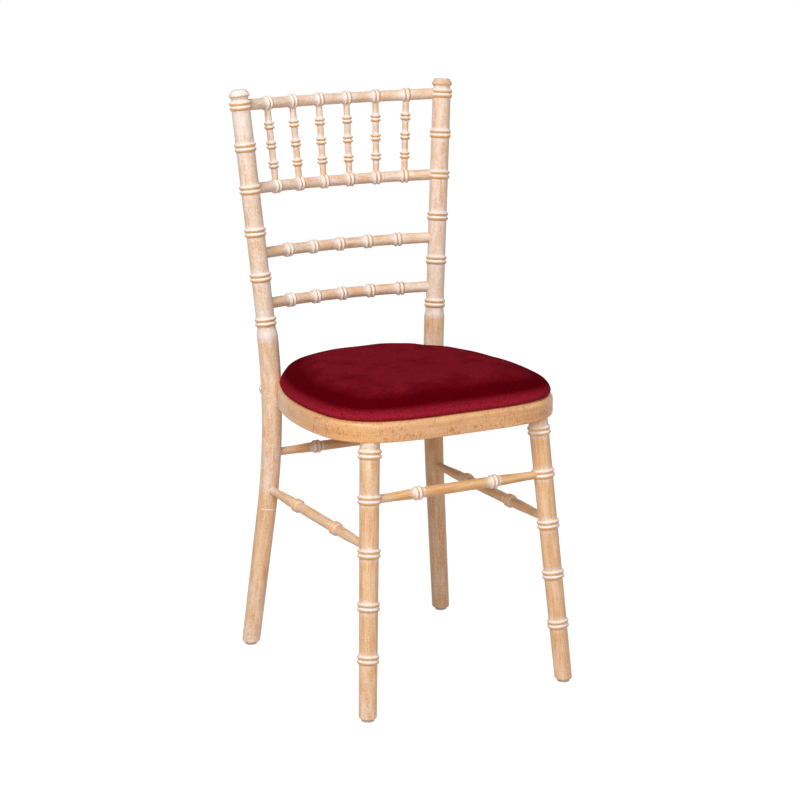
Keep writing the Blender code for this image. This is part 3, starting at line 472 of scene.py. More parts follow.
@dataclass(frozen=True)
class LacqueredBeech(Finish):
    """Steam-bent beech under clear lacquer: honey-coloured, even, with brown ray flecks and a soft gloss.

    Sizes of patterns run across the hoop, up it and round it.
    """

    name: str = "lacquered bent beech"
    wood_pale: str = "ECBA80"
    wood_deep: str = "DC9F60"
    fleck: str = "B4642C"
    wash: str = "F2E2D6"
    line_mm: Triple = (2.2, 2.2, 75.0)
    band_mm: Triple = (11.0, 11.0, 120.0)
    dash_mm: Triple = (6.0, 6.0, 1.9)
    cluster_mm: Triple = (16.0, 16.0, 30.0)
    fine_mm: Triple = (1.8, 1.8, 2.4)
    veil_mm: Triple = (6.0, 6.0, 20.0)
    roughness: float = 0.42
    coat: float = 0.20
    coat_roughness: float = 0.16

    def paint(self, to: Painter) -> None:
        """Add the finish's nodes, which read the pieces' attributes "grain" and "white".

        Args:
            to: the painter of its material.
        """
        grain, white = to.read("grain", "Vector"), to.read("white", "Fac")
        # Growth lines that run round the hoop
        line = to.clouds(grain, self.line_mm, 3.0)
        tone = to.math("ADD", line, to.clouds(grain, self.band_mm))
        wood = to.mix(to.span(tone, 0.75, 1.3), self.wood_pale, self.wood_deep)
        # Ray flecks: dashes that stand across the run, in loose clusters, over a fine mottle
        dash = to.span(to.clouds(grain, self.dash_mm, 1.0), 0.55, 0.62, 0.0, 0.90)
        cluster = to.span(to.clouds(grain, self.cluster_mm, 1.0), 0.38, 0.58)
        fine = to.span(to.clouds(grain, self.fine_mm, 1.0), 0.48, 0.78, 0.0, 0.55)
        wood = to.mix(to.math("MAXIMUM", to.math("MULTIPLY", dash, cluster), fine), wood, self.fleck)
        veil = to.math("MULTIPLY", white, to.clouds(grain, self.veil_mm))
        to.finish({
            "Base Color": to.mix(veil, wood, self.wash), "Roughness": self.roughness, "Coat Weight": self.coat,
            "Coat Roughness": self.coat_roughness,
        }, line, 0.2, 0.1)


@dataclass(frozen=True)
class Velour(Finish):
    """Short-pile burgundy velour.

    Its colour is painted light and shade by the slope of the surface: the upright sides are painted bright, as lit
    from the front, the turn into the top is painted as a dark band of shade, and the flat top is painted a little
    lighter again for its sheen. The stops go from an upright face, at 0, to a level one, at 1. The tufts are coarser
    than the pile itself, so that they show.
    """

    name: str = "burgundy velour"
    # Painted light and shade by slope: bright lit sides, a dark shaded turn, a somewhat lighter top
    stops: tuple[tuple[float, str], ...] = (
        (0.15, "961F30"), (0.58, "7E1422"), (0.80, "56000B"), (0.955, "5A000D"), (0.988, "6E0C1A"), (1.0, "7E1523"),
    )
    sheen: str = "D06A70"
    sheen_weight: float = 0.05
    sheen_roughness: float = 0.45
    drift_mm: Triple = (45.0, 45.0, 45.0)
    drift: float = 0.012
    tuft_mm: Triple = (2.1, 2.1, 2.1)
    tuft_light: tuple[float, float] = (0.48, 1.56)

    def paint(self, to: Painter) -> None:
        """Add the finish's nodes, which read the piece's attribute "slope".

        Args:
            to: the painter of its material.
        """
        slope, place = to.read("slope", "Fac"), to.place()
        drift = to.span(to.clouds(place, self.drift_mm), 0.3, 0.7, -self.drift, self.drift)
        # The ramp paints light and shade by slope: lit sides bright, the turn a dark band of painted shade
        colour = to.ramp(to.math("ADD", slope, drift), self.stops)
        tuft = to.clouds(place, self.tuft_mm)
        light = to.span(tuft, 0.25, 0.75, *self.tuft_light)
        to.finish({
            "Base Color": node(to.tree, "VectorMath", {0: colour, "Scale": light}, operation="SCALE").outputs[0],
            "Roughness": 1.0, "Specular IOR Level": 0.0, "Sheen Weight": self.sheen_weight,
            "Sheen Roughness": self.sheen_roughness, "Sheen Tint": linear(self.sheen),
        }, tuft, 0.5, 0.4)


@dataclass(frozen=True)
class BirchPly(Finish):
    """Bare birch plywood: pale streaked face veneer, with the plies as brown and pale lines at its edges."""

    name: str = "bare birch plywood"
    pale: str = "E2CBA2"
    deep: str = "C9A877"
    glue: str = "8A6238"
    streak_mm: Triple = (90.0, 3.0, 3.0)
    ply_mm: float = 1.45
    roughness: float = 0.7

    def paint(self, to: Painter) -> None:
        """Add the finish's nodes, on the piece's own coordinates.

        Args:
            to: the painter of its material.
        """
        place = to.place()
        streak = to.clouds(place, self.streak_mm, 4.0)
        plies = to.math("SINE", to.math("MULTIPLY", to.part(place, 2), 1000.0 / self.ply_mm * math.pi))
        plies = to.span(plies, 0.1, 0.4, 0.0, 0.45)
        flat = to.math("ABSOLUTE", to.part(node(to.tree, "NewGeometry").outputs["Normal"], 2))
        edge = to.math("MULTIPLY", to.math("LESS_THAN", flat, 0.5), plies)
        to.finish({
            "Base Color": to.mix(edge, to.mix(streak, self.pale, self.deep), self.glue), "Roughness": self.roughness,
        }, streak, 0.3, 0.1)


@dataclass(frozen=True)
class PlainFinish(Finish):
    """A small fixing's finish: one colour clouded towards a second, and a fine grain in its roughness and relief."""

    colour: str
    cloud: str
    cloud_mm: float
    grain_mm: float
    roughness: float
    metallic: float
    relief_mm: float
    roughness_swing: float = 0.12

    def paint(self, to: Painter) -> None:
        """Add the finish's nodes, on the piece's own coordinates.

        Args:
            to: the painter of its material.
        """
        place = to.place()
        cloud = to.clouds(place, (self.cloud_mm,) * 3, 3.0)
        grain = to.clouds(place, (self.grain_mm,) * 3)
        low, high = self.roughness - self.roughness_swing, self.roughness + self.roughness_swing
        to.finish({
            "Base Color": to.mix(cloud, self.colour, self.cloud), "Roughness": to.span(grain, 0.0, 1.0, low, high),
            "Metallic": self.metallic,
        }, grain, 0.4, self.relief_mm)


# The chair's lines, from the same driving sizes as the solids


@dataclass(frozen=True)
class SeatOutline:
    """The seat ring's outer outline: a straight front and tangent arcs, the same on both sides."""

    front: float
    flat: float = 0.060
    arcs: tuple[tuple[float, float], ...] = ((0.268, 15.3), (0.094, 66.1), (0.390, 40.9), (0.120, 57.7))

    def half(self, inset: float, step: float) -> tuple[np.ndarray, np.ndarray]:
        """Right half of the outline, from the middle of the front to the middle of the back.

        Each arc of radius R about C is C + (R - inset) (sin h, -cos h), for its headings h.

        Args:
            inset: distance that the outline is drawn in.
            step: spacing of the points along the outer outline.

        Returns:
            (n, 2) points and (n,) headings.
        """
        count = max(2, math.ceil(self.flat / step) + 1)
        points = [np.stack((np.linspace(0.0, self.flat, count), np.full(count, inset)), axis=-1)]
        headings = [np.zeros(count)]
        place = np.array((self.flat, 0.0))
        heading = 0.0
        for radius, degrees in self.arcs:
            turn = math.radians(degrees)
            angles = heading + np.linspace(0.0, turn, max(2, math.ceil(radius * turn / step) + 1))[1:]
            centre = place - outward(heading) * radius
            points.append(centre + outward(angles) * (radius - inset))
            headings.append(angles)
            heading += turn
            place = centre + outward(heading) * radius
        count = max(2, math.ceil(place[0] / step) + 1)
        back = np.linspace(place[0], 0.0, count)[1:]
        points.append(np.stack((back, np.full(count - 1, place[1] - inset)), axis=-1))
        headings.append(np.full(count - 1, math.pi))
        return np.concatenate(points) + np.array((0.0, self.front)), np.concatenate(headings)

    def whole(self, step: float) -> tuple[np.ndarray, np.ndarray]:
        """The closed outline, anticlockwise from the middle of the front.

        Args:
            step: spacing of the points.

        Returns:
            (n, 2) points and (n,) headings, from 0 to a full turn.
        """
        points, headings = self.half(0.0, step)
        mirrored = points[-2:0:-1] * np.array((-1.0, 1.0))
        return np.concatenate((points, mirrored)), np.concatenate((headings, 2 * math.pi - headings[-2:0:-1]))

    def station(self, degrees: float, inset: float = 0.0) -> tuple[np.ndarray, np.ndarray]:
        """Find the point of the right half at a heading.

        Args:
            degrees: the heading, from the front.
            inset: distance that the outline is drawn in.

        Returns:
            The point in plan, and the direction out of the seat there.
        """
        points, headings = self.half(inset, 0.5 * MM)
        target = math.radians(degrees)
        place = np.array([np.interp(target, headings, points[:, axis]) for axis in (0, 1)])
        return place, outward(np.array(target))


@dataclass(frozen=True)
class PostLine:
    """Axis of a rear post: straight and splayed below, straight and raked above, with one even bend between."""

    outline: SeatOutline
    side: Side
    station: float = 125.1
    stand_off: float = 0.0134
    middle: float = 0.4405
    knee: float = 0.385
    bend: float = 0.300
    splay: tuple[float, float] = (0.100, 0.084)
    rake: tuple[float, float] = (0.077, 0.0745)

    def lean(self, height: np.ndarray, splay: float, rake: float) -> np.ndarray:
        """Offset from the knee: the splay below, the rake above, and a parabola between that meets both.

        Args:
            height: heights above the floor.
            splay: offset gained per metre down, below the bend.
            rake: offset gained per metre up, above the bend.

        Returns:
            The offset at each height.
        """
        low = self.knee - self.bend / 2
        inside = np.clip(height - low, 0.0, self.bend)
        turned = (splay + rake) * inside ** 2 / (2 * self.bend)
        past = np.clip(height - low - self.bend, 0.0, None)
        return splay * (self.knee - height) + turned + (splay + rake) * past

    def __call__(self, height: np.ndarray) -> np.ndarray:
        """Points of the axis.

        Args:
            height: their heights above the floor.

        Returns:
            (n, 3) points.
        """
        place, out = self.outline.station(self.station)
        seat = place + out * self.stand_off
        columns = [
            seat[axis] + self.lean(height, self.splay[axis], self.rake[axis])
            - self.lean(np.array(self.middle), self.splay[axis], self.rake[axis]) for axis in (0, 1)
        ]
        return np.stack((columns[0] * self.side.value, columns[1], height), axis=-1)


@dataclass(frozen=True)
class LegLine:
    """Axis of a front leg: straight, from under the ring's middle out and forward to the foot."""

    outline: SeatOutline
    side: Side
    station: float = 33.0
    inset: float = 0.0165
    seat: float = 0.425
    foot_out: float = 0.0282
    foot_forward: float = 0.0431

    def __call__(self, height: np.ndarray) -> np.ndarray:
        """Points of the axis.

        Args:
            height: their heights above the floor.

        Returns:
            (n, 3) points.
        """
        place, _ = self.outline.station(self.station, self.inset)
        share = (self.seat - height) / self.seat
        return np.stack((
            (place[0] + self.foot_out * share) * self.side.value, place[1] - self.foot_forward * share, height,
        ), axis=-1)


@dataclass(frozen=True)
class RailLine:
    """Axis of a back rail: an arc between the posts, bowed backwards and square to their rake."""

    post: PostLine
    height: float
    bow: float

    @property
    def half(self) -> float:
        """Distance from the chair's middle to the post's axis."""
        return float(abs(self.post(np.array([self.height]))[0, 0]))

    def __call__(self, across: np.ndarray) -> np.ndarray:
        """Points of the axis.

        Args:
            across: the X of each.

        Returns:
            (n, 3) points.
        """
        end = self.post(np.array([self.height]))[0]
        radius = (self.half ** 2 + self.bow ** 2) / (2 * self.bow)
        back = self.bow - radius + np.sqrt(radius ** 2 - across ** 2)
        return np.stack((across, end[1] + back, self.height - self.post.rake[1] * back), axis=-1)


@dataclass(frozen=True)
class StraightLine:
    """Straight axis between two points, measured in metres from the first."""

    first: np.ndarray
    last: np.ndarray

    @property
    def length(self) -> float:
        """Distance between the two points."""
        return float(np.linalg.norm(self.last - self.first))

    def __call__(self, along: np.ndarray) -> np.ndarray:
        """Points of the axis at the given distances, as (n, 3)."""
        return self.first + (self.last - self.first) * (along / self.length)[:, None]


# Turned pieces


@dataclass(frozen=True)
class RingPair:
    """One pair of turned rings: a hollow flare, a bead, a groove, a second bead and a hollow drop.

    The first five sizes are those in profile. way is 1 where the drop lies further along the line and -1 where the
    flare does. fade is the run over which the pair's wash gives way to the piece's own, spread scales its wash outside
    the beads, and rub_and_shade scales how bare the crests are and how dark the line at each bead's far foot is, which
    is partly dirt and partly painted shadow.
    """

    spacing: float
    flare: float
    drop: float
    rise: float
    bead: float
    way: int = 1
    fade: float = 9 * MM
    spread: float = 1.0
    rub_and_shade: float = 1.0
    flare_top: float = 0.86
    flare_power: float = 2.3
    drop_top: float = 0.8
    drop_power: float = 1.7
    groove_floor: float = 0.12

    def lift(self, offset: np.ndarray) -> np.ndarray:
        """Height of the pair as a share of its rise.

        Each bead is half an ellipse, the flare rises with a power of its run, and the drop falls with another.
        The highest of them counts.

        Args:
            offset: distance from the middle of the groove, positive on the drop's side.

        Returns:
            The share at each offset.
        """
        half = self.spacing / 2
        beads = [np.sqrt(np.clip(1.0 - ((offset - at) / self.bead) ** 2, 0.0, 1.0)) for at in (-half, half)]
        run = np.clip((offset + half + self.flare) / self.flare, 0.0, 1.0)
        hollow = np.where(offset < -half, self.flare_top * run ** self.flare_power, 0.0)
        left = np.clip(1.0 - (offset - half) / self.drop, 0.0, 1.0)
        fall = np.where(offset > half, self.drop_top * left ** self.drop_power, 0.0)
        groove = np.where(np.abs(offset) < half, self.groove_floor, 0.0)
        return np.max(np.stack((*beads, hollow, fall, groove)), axis=0)

    def wash(self, offset: np.ndarray) -> tuple[np.ndarray, np.ndarray]:
        """Wash that lies on the pair, and how far it stands in for the piece's own.

        The wash fills the flare, the groove with the near face of the second bead, and the drop; the white on that
        near face is partly a painted highlight. The crests are rubbed bare, and each bead's far foot holds a dark line
        that is partly dirt and partly a painted shadow under the bead.

        Args:
            offset: distance from the middle of the groove, positive on the drop's side.

        Returns:
            Amounts of wash, and shares from 0 to 1.
        """
        half, bead = self.spacing / 2, self.bead
        # Below -0.4 the amount paints the dark line at each bead's far foot, partly dirt and partly painted shadow;
        # the white up the second bead's near face is partly a painted highlight
        knots = [
            (-half - self.flare - self.fade, 0.45 * self.spread), (-half - self.flare, 0.62 * self.spread),
            (-half - 1.25 * bead, 0.80 * self.spread), (-half - 0.9 * bead, 0.96),
            (-half - 0.45 * bead, 0.85), (-half - 0.15 * bead, 0.10), (-half + 0.10 * bead, -0.22),
            (-half + 0.55 * bead, -0.20), (-half + 0.75 * bead, -0.50), (-half + 0.92 * bead, 0.60), (0.0, 1.05),
            (half - 0.50 * bead, 1.05), (half - 0.25 * bead, 0.30), (half, -0.18), (half + 0.60 * bead, -0.25),
            (half + 0.88 * bead, -0.60), (half + 1.05 * bead, 0.30), (half + 1.25 * bead, 0.80 * self.spread),
            (half + self.drop, 0.65 * self.spread), (half + self.drop + self.fade, 0.35 * self.spread),
        ]
        share = ease((offset + half + self.flare + self.fade) / self.fade)
        share = share * ease((half + self.drop + self.fade - offset) / self.fade)
        amount = through(knots, offset)
        return np.where(amount < 0.0, self.rub_and_shade * amount, amount), share

    def reach(self) -> tuple[float, float]:
        """How far the pair runs either side of its groove.

        Returns:
            The runs before and after it, in the direction of the line.
        """
        before = self.spacing / 2 + self.flare + 2 * MM
        after = self.spacing / 2 + self.drop + 2 * MM
        return (before, after) if self.way > 0 else (after, before)


@dataclass
class TurnedPiece:
    """A limed, turned member: a round profile with ring pairs, carried along its axis.

    It stands for the node of its name. fine lists stretches with close rows, and scored is a whitened score: its
    place along the line, and the first and last degree that it covers in plan.
    """

    name: str
    line: Callable[[np.ndarray], np.ndarray]
    start: float
    end: float
    body: Callable[[np.ndarray], np.ndarray]
    rings: Sequence[float]
    pair: RingPair
    white: Knots
    seed: int
    around: int = 36
    fine: Knots = ()
    level_foot: bool = False
    scored: Triple | None = None
    step: float = 0.1 * MM
    margin: float = 12 * MM
    rounding: float = 0.3 * MM
    wash_blur: float = 0.25 * MM
    plain_row: float = 5 * MM
    fine_row: float = 0.45 * MM
    upright_run: float = 0.030
    score_width: float = 0.9 * MM
    score_wash: float = 1.1
    sharp_degrees: float = 55.0

    def profile(self) -> tuple[np.ndarray, np.ndarray, np.ndarray]:
        """Work out the turned profile and how much wash it holds.

        The raw radius is the body plus each ring pair's lift. A blur rounds it as a tool and sandpaper do. The wash
        is the piece's own amount, which gives way to each pair's.

        Returns:
            Places along the line, radii, and amounts of wash.
        """
        along = np.arange(self.start - self.margin, self.end + self.margin, self.step)
        held = np.clip(along, self.start, self.end)
        raw = self.body(held)
        amount = through(self.white, along)
        for at in self.rings:
            offset = (along - at) * self.pair.way
            raw = raw + self.pair.rise * self.pair.lift(offset)
            wash, share = self.pair.wash(offset)
            amount = amount + (wash - amount) * share
        radius = blur(raw, self.rounding / self.step)
        amount = blur(amount, self.wash_blur / self.step)
        count = max(2, math.ceil((self.end - self.start) / self.plain_row) + 1)
        rows = [np.linspace(self.start, self.end, count)]
        before, after = self.pair.reach()
        for low, high in [(at - before, at + after) for at in self.rings] + list(self.fine):
            rows.append(np.arange(low, high, self.fine_row))
        places = np.unique(np.clip(np.concatenate(rows), self.start, self.end).round(5))
        return places, np.interp(places, along, radius), np.interp(places, along, amount)

    def build(self, finish: bpy.types.Material) -> None:
        """Make the piece, dress it and hang it on the chair.

        The surface is P(s) + r(s) (cos a U(s) + sin a V(s)), with U and V square to the axis.

        Args:
            finish: its material.
        """
        places, radii, amount = self.profile()
        centres = self.line(places)
        tangent = unit(self.line(places + 0.5 * MM) - self.line(places - 0.5 * MM))
        if self.level_foot:
            upright = 1.0 - ease((places - self.start) / self.upright_run)
            tangent = unit(tangent * (1.0 - upright)[:, None] + Z_AXIS * upright[:, None])
        aside = Y_AXIS if abs(tangent[:, 1]).max() < 0.7 else Z_AXIS
        angle, spoke = spokes(tangent, aside, self.around)
        rings = centres[:, None] + radii[:, None, None] * spoke
        piece = capped(self.name + "_turned", rings, centres[0], centres[-1])
        shift = np.random.default_rng(self.seed).uniform(-2.0, 2.0, 3)
        local = np.stack(np.broadcast_arrays(
            radii[:, None] * np.cos(angle), radii[:, None] * np.sin(angle), places[:, None]), axis=-1)
        poles = np.array(((0.0, 0.0, places[0]), (0.0, 0.0, places[-1])))
        note(piece, "grain", np.concatenate((local.reshape(-1, 3), poles)) + shift)
        wash = np.repeat(amount[:, None], self.around, axis=1)
        if self.scored:
            at, first, last = self.scored
            mark = np.exp(-((places - at) / self.score_width) ** 2)
            turned = np.degrees(np.arctan2(spoke[..., 1], spoke[..., 0]))
            wash += self.score_wash * mark[:, None] * ((turned > first) & (turned < last))
        note(piece, "white", np.concatenate((wash.ravel(), amount[[0, -1]])))
        piece.data.set_sharp_from_angle(angle=math.radians(self.sharp_degrees))
        dress(piece, finish, CHAIR_BODY, self.name)


def dress(piece: bpy.types.Object, finish: bpy.types.Material, body: str, stands_for: str) -> None:
    """Give a new piece its material and its body, and hide the node that it stands for.

    Args:
        piece: the new object.
        finish: its material.
        body: the body that it moves with.
        stands_for: the node that it replaces.
    """
    piece.data.materials.append(finish)
    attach(piece, body)
    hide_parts(stands_for)
    LOG.info("%s: %d faces", piece.name, len(piece.data.polygons))


# Sub-assemblies


@dataclass
class RearPosts:
    """The two bent rear posts, with six ring pairs and a finial each."""

    outline: SeatOutline
    finish: bpy.types.Material
    top: float = 0.915
    foot: float = 0.0048
    seat: float = 0.425
    radius: float = 0.0149
    swell_radius: float = 0.0169
    seat_radius: float = 0.0165
    foot_radius: float = 0.0148
    chamfer: float = 0.0015
    ring_heights: tuple[float, ...] = (0.8905, 0.8250, 0.7583, 0.6903, 0.6182, 0.5465)
    neck_drop: float = 0.0080
    swell_drop: float = 0.0235
    shoulder: float = 0.05 * MM
    finial_mm: Knots = (
        (18.5, 14.9), (17.0, 13.9), (15.0, 13.3), (13.0, 13.6), (11.2, 14.9), (9.6, 16.8), (8.8, 17.1), (8.0, 16.7),
        (5.0, 14.9), (2.0, 13.0), (0.6, 11.9), (0.0, 10.6),
    )
    score: Triple = (0.2375, -150.0, -75.0)
    foot_rows: float = 6 * MM
    finial_rows: float = 22 * MM
    neck_rows: tuple[float, float] = (0.518, 0.542)
    score_rows: tuple[float, float] = (0.235, 0.240)
    pair: RingPair = RingPair(7.3 * MM, 6.5 * MM, 5.5 * MM, 2.6 * MM, 3.1 * MM, way=-1)

    def lines(self) -> dict[Side, PostLine]:
        """The axis of each post."""
        return {side: PostLine(self.outline, side) for side in Side}

    def body(self, height: np.ndarray) -> np.ndarray:
        """Radius without the rings.

        It tapers below the seat, swells above it, and draws in on an S to the neck under the last ring pair. Above
        that it is plain up to the finial: a cove, a sharp ridge and a crown that slopes in to a flat top.

        Args:
            height: heights above the floor.

        Returns:
            The radius at each height.
        """
        last = self.ring_heights[-1]
        neck, swell = last - self.neck_drop, last - self.swell_drop
        curve = ease((neck - height) / (neck - swell)) * (self.swell_radius - self.radius)
        knots = [
            (self.foot, self.foot_radius - self.chamfer), (self.foot + self.chamfer, self.foot_radius),
            (self.seat, self.seat_radius), (swell, self.swell_radius), (swell + self.shoulder, self.radius),
            *((self.top - drop * MM, radius * MM) for drop, radius in self.finial_mm),
        ]
        return through(knots, height) + np.where(height > swell + self.shoulder, curve, 0.0)

    def build(self) -> None:
        """Make both posts."""
        white = {
            Side.LEFT: [
                (0.005, 0.48), (0.03, 0.40), (0.08, 0.30), (0.13, 0.18), (0.20, 0.14), (0.256, 0.16), (0.27, 0.34),
                (0.33, 0.44), (0.37, 0.28), (0.43, 0.36), (0.49, 0.32), (0.512, 0.30), (0.524, 0.82), (0.536, 0.90),
                (0.56, 0.58), (0.60, 0.46), (0.66, 0.42), (0.72, 0.50), (0.78, 0.44), (0.84, 0.68), (0.88, 0.88),
                (0.903, 1.0), (0.9052, 0.55), (0.9058, -0.30), (0.9066, 0.55), (0.9075, 0.75), (0.915, 0.95),
            ],
            # The right post's wash drops to nearly nothing from 0.30 m to 0.43 m, under the seat, which darkens it
            # there: partly less wash and partly painted shade where the seat shades it
            Side.RIGHT: [
                (0.005, 0.24), (0.06, 0.26), (0.20, 0.22), (0.30, 0.12), (0.40, 0.02), (0.47, 0.45), (0.50, 0.22),
                (0.518, 0.20), (0.530, 0.74), (0.56, 0.50), (0.60, 0.50), (0.66, 0.54), (0.72, 0.44), (0.76, 0.50),
                (0.80, 0.42), (0.87, 0.48), (0.89, 0.80), (0.903, 0.85), (0.9052, 0.20), (0.9058, -0.30),
                (0.9066, 0.15), (0.915, 0.34),
            ],
        }
        for side, line in self.lines().items():
            TurnedPiece(
                "rear_post_" + side.word, line, self.foot, self.top, self.body, self.ring_heights, self.pair,
                white[side], seed=11 + side.value, around=48, level_foot=True,
                fine=((self.foot, self.foot + self.foot_rows), (self.top - self.finial_rows, self.top),
                      self.neck_rows, self.score_rows),
                scored=self.score if side is Side.LEFT else None,
            ).build(self.finish)


@dataclass
class FrontLegs:
    """The two turned front legs, with five ring pairs each, that end a little way up inside the seat ring."""

    outline: SeatOutline
    finish: bpy.types.Material
    foot: float = 0.0048
    seat: float = 0.425
    let_in: float = 4 * MM
    foot_rows: float = 6 * MM
    top_radius: float = 0.0155
    foot_radius: float = 0.0139
    chamfer: float = 0.0015
    drops: tuple[float, ...] = (0.0200, 0.0883, 0.1695, 0.2503, 0.3304)
    pair: RingPair = RingPair(7.3 * MM, 6.5 * MM, 5.5 * MM, 2.9 * MM, 3.1 * MM, way=-1, fade=5 * MM, spread=0.6)

    def lines(self) -> dict[Side, LegLine]:
        """The axis of each leg."""
        return {side: LegLine(self.outline, side) for side in Side}

    def body(self, height: np.ndarray) -> np.ndarray:
        """Radius without the rings: an even taper to the chamfered foot.

        Args:
            height: heights above the floor.

        Returns:
            The radius at each height.
        """
        knots = [
            (self.foot, self.foot_radius - self.chamfer), (self.foot + self.chamfer, self.foot_radius),
            (self.seat, self.top_radius),
        ]
        return through(knots, height)

    def build(self) -> None:
        """Make both legs."""
        rings = [self.seat - drop for drop in self.drops]
        white = {
            Side.LEFT: [
                (0.005, 0.38), (0.05, 0.22), (0.13, 0.15), (0.25, 0.14), (0.32, 0.12), (0.37, 0.18), (0.395, 0.28),
                (0.41, 0.50), (0.425, 0.56),
            ],
            Side.RIGHT: [
                (0.005, 0.24), (0.05, 0.15), (0.13, 0.14), (0.25, 0.15), (0.34, 0.10), (0.39, 0.08), (0.41, 0.28),
                (0.425, 0.30),
            ],
        }
        for side, line in self.lines().items():
            TurnedPiece(
                "front_leg_" + side.word, line, self.foot, self.seat + self.let_in, self.body, rings, self.pair,
                white[side], seed=31 + side.value, around=48, level_foot=True,
                fine=((self.foot, self.foot + self.foot_rows),),
            ).build(self.finish)


@dataclass
class Back:
    """The four bowed rails and the gallery of six turned spindles.

    rails gives each rail's drop from the posts' top, its bow, the pitch of its ring pairs and their number.
    """

    posts: RearPosts
    finish: bpy.types.Material
    rail_radius: float = 8.9 * MM
    tenon_stop: float = 5.0 * MM
    rails: dict[str, tuple[float, float, float, int]] = field(default_factory=lambda: {
        "back_top_rail": (0.0245, 0.0390, 0.0507, 6),
        "back_gallery_rail": (0.1562, 0.0353, 0.0470, 6),
        "back_mid_rail": (0.2597, 0.0333, 0.0506, 5),
        "back_low_rail": (0.3409, 0.0315, 0.0508, 5),
    })
    rail_pair: RingPair = RingPair(6.6 * MM, 8.3 * MM, 5.3 * MM, 2.8 * MM, 2.6 * MM, fade=6 * MM)
    spindles: int = 6
    spindle_radius: float = 5.2 * MM
    spindle_end: float = 5.0 * MM
    spindle_plain: float = 10.2 * MM
    spindle_swell: float = 6.0 * MM
    spindle_stop: float = 2.5 * MM
    spindle_rings: tuple[float, ...] = (0.268, 0.505, 0.742)
    spindle_white: tuple[float, ...] = (0.70, 0.52, 0.42, 0.46, 0.32, 0.20)
    spindle_pair: RingPair = RingPair(6.2 * MM, 6.2 * MM, 5.2 * MM, 3.2 * MM, 2.6 * MM, fade=4 * MM, rub_and_shade=0.6)

    def line(self, name: str) -> RailLine:
        """Axis of one rail."""
        drop, bow, _, _ = self.rails[name]
        return RailLine(self.posts.lines()[Side.RIGHT], self.posts.top - drop, bow)

    def build(self) -> None:
        """Make the rails and the spindles."""
        white = {
            "back_top_rail": [(-0.19, 0.56), (-0.10, 0.44), (0.0, 0.48), (0.08, 0.40), (0.19, 0.40)],
            "back_gallery_rail": [(-0.19, 0.56), (-0.10, 0.50), (0.0, 0.46), (0.19, 0.46)],
            "back_mid_rail": [(-0.19, 0.30), (-0.08, 0.34), (0.05, 0.34), (0.19, 0.40)],
            "back_low_rail": [(-0.19, 0.30), (-0.08, 0.24), (0.06, 0.26), (0.13, 0.50), (0.19, 0.40)],
        }
        for number, (name, (_, _, pitch, count)) in enumerate(self.rails.items()):
            line = self.line(name)
            half = line.half - self.tenon_stop
            rings = pitch * (np.arange(count) - (count - 1) / 2)
            TurnedPiece(
                name, line, -half, half, lambda s: np.full_like(s, self.rail_radius), rings, self.rail_pair,
                white[name], seed=51 + number,
            ).build(self.finish)
        top, low = self.line("back_top_rail"), self.line("back_gallery_rail")
        for index in range(self.spindles):
            share = index - (self.spindles - 1) / 2
            line = StraightLine(
                top(np.array([share * self.rails["back_top_rail"][2]]))[0],
                low(np.array([share * self.rails["back_gallery_rail"][2]]))[0],
            )
            end = line.length - self.spindle_stop

            def body(along: np.ndarray, end: float = end) -> np.ndarray:
                """Radius without the rings: thin at both ends, full between."""
                near = np.minimum(along - self.spindle_stop, end - along)
                full = ease((near - self.spindle_plain) / self.spindle_swell)
                return self.spindle_end + (self.spindle_radius - self.spindle_end) * full

            level = self.spindle_white[index]
            TurnedPiece(
                "gallery_spindle_%d" % (index + 1), line, self.spindle_stop, end, body,
                [line.length * place for place in self.spindle_rings], self.spindle_pair,
                [(0.0, 0.44), (0.04, level), (0.09, level - 0.04), (0.13, 0.36)], seed=71 + index, around=32,
            ).build(self.finish)


@dataclass
class Stretchers:
    """The four turned stretchers under the seat, thin at their ends and full in the middle."""

    posts: RearPosts
    legs: FrontLegs
    finish: bpy.types.Material
    end_radius: float = 6.6 * MM
    full_radius: float = 8.3 * MM
    tenon_stop: float = 5.0 * MM
    tenon_run: float = 22.0 * MM
    swell_run: float = 60.0 * MM
    front_height: float = 0.3352
    rear_height: float = 0.3294
    side_heights: tuple[float, float] = (0.2690, 0.2629)
    front_rings: tuple[float, ...] = (0.267, 0.702)
    rear_rings: tuple[float, ...] = (0.27, 0.73)
    side_rings: tuple[float, ...] = (0.306, 0.686)
    front_white: float = 0.0
    rear_white: float = 0.10
    side_white: dict[Side, float] = field(default_factory=lambda: {Side.LEFT: 0.24, Side.RIGHT: 0.10})
    pair: RingPair = RingPair(6.6 * MM, 7.5 * MM, 5.5 * MM, 2.7 * MM, 2.6 * MM, fade=5 * MM)

    def build(self) -> None:
        """Make the stretchers."""
        posts, legs = self.posts.lines(), self.legs.lines()
        low, high = self.side_heights[::-1]
        left, right = Side.LEFT, Side.RIGHT
        runs = [
            ("front", legs[left], self.front_height, legs[right], self.front_height, self.front_rings,
             self.front_white),
            ("rear", posts[left], self.rear_height, posts[right], self.rear_height, self.rear_rings,
             self.rear_white),
            *((side.word, posts[side], high, legs[side], low, self.side_rings, self.side_white[side])
              for side in Side),
        ]
        for number, (word, first, first_height, last, last_height, shares, level) in enumerate(runs):
            line = StraightLine(first(np.array([first_height]))[0], last(np.array([last_height]))[0])
            start, end = self.tenon_stop, line.length - self.tenon_stop

            def body(along: np.ndarray, start: float = start, end: float = end) -> np.ndarray:
                """Radius without the rings: plain at both tenons, then an easy swell."""
                near = np.minimum(along - start, end - along)
                return self.end_radius + (self.full_radius - self.end_radius) * ease(
                    (near - self.tenon_run) / self.swell_run)

            TurnedPiece(
                "stretcher_" + word, line, start, end, body, [line.length * share for share in shares], self.pair,
                [(0.0, level + 0.30), (0.022, level + 0.22), (0.045, level), (line.length - 0.05, level),
                 (line.length, level + 0.15)], seed=91 + number,
            ).build(self.finish)


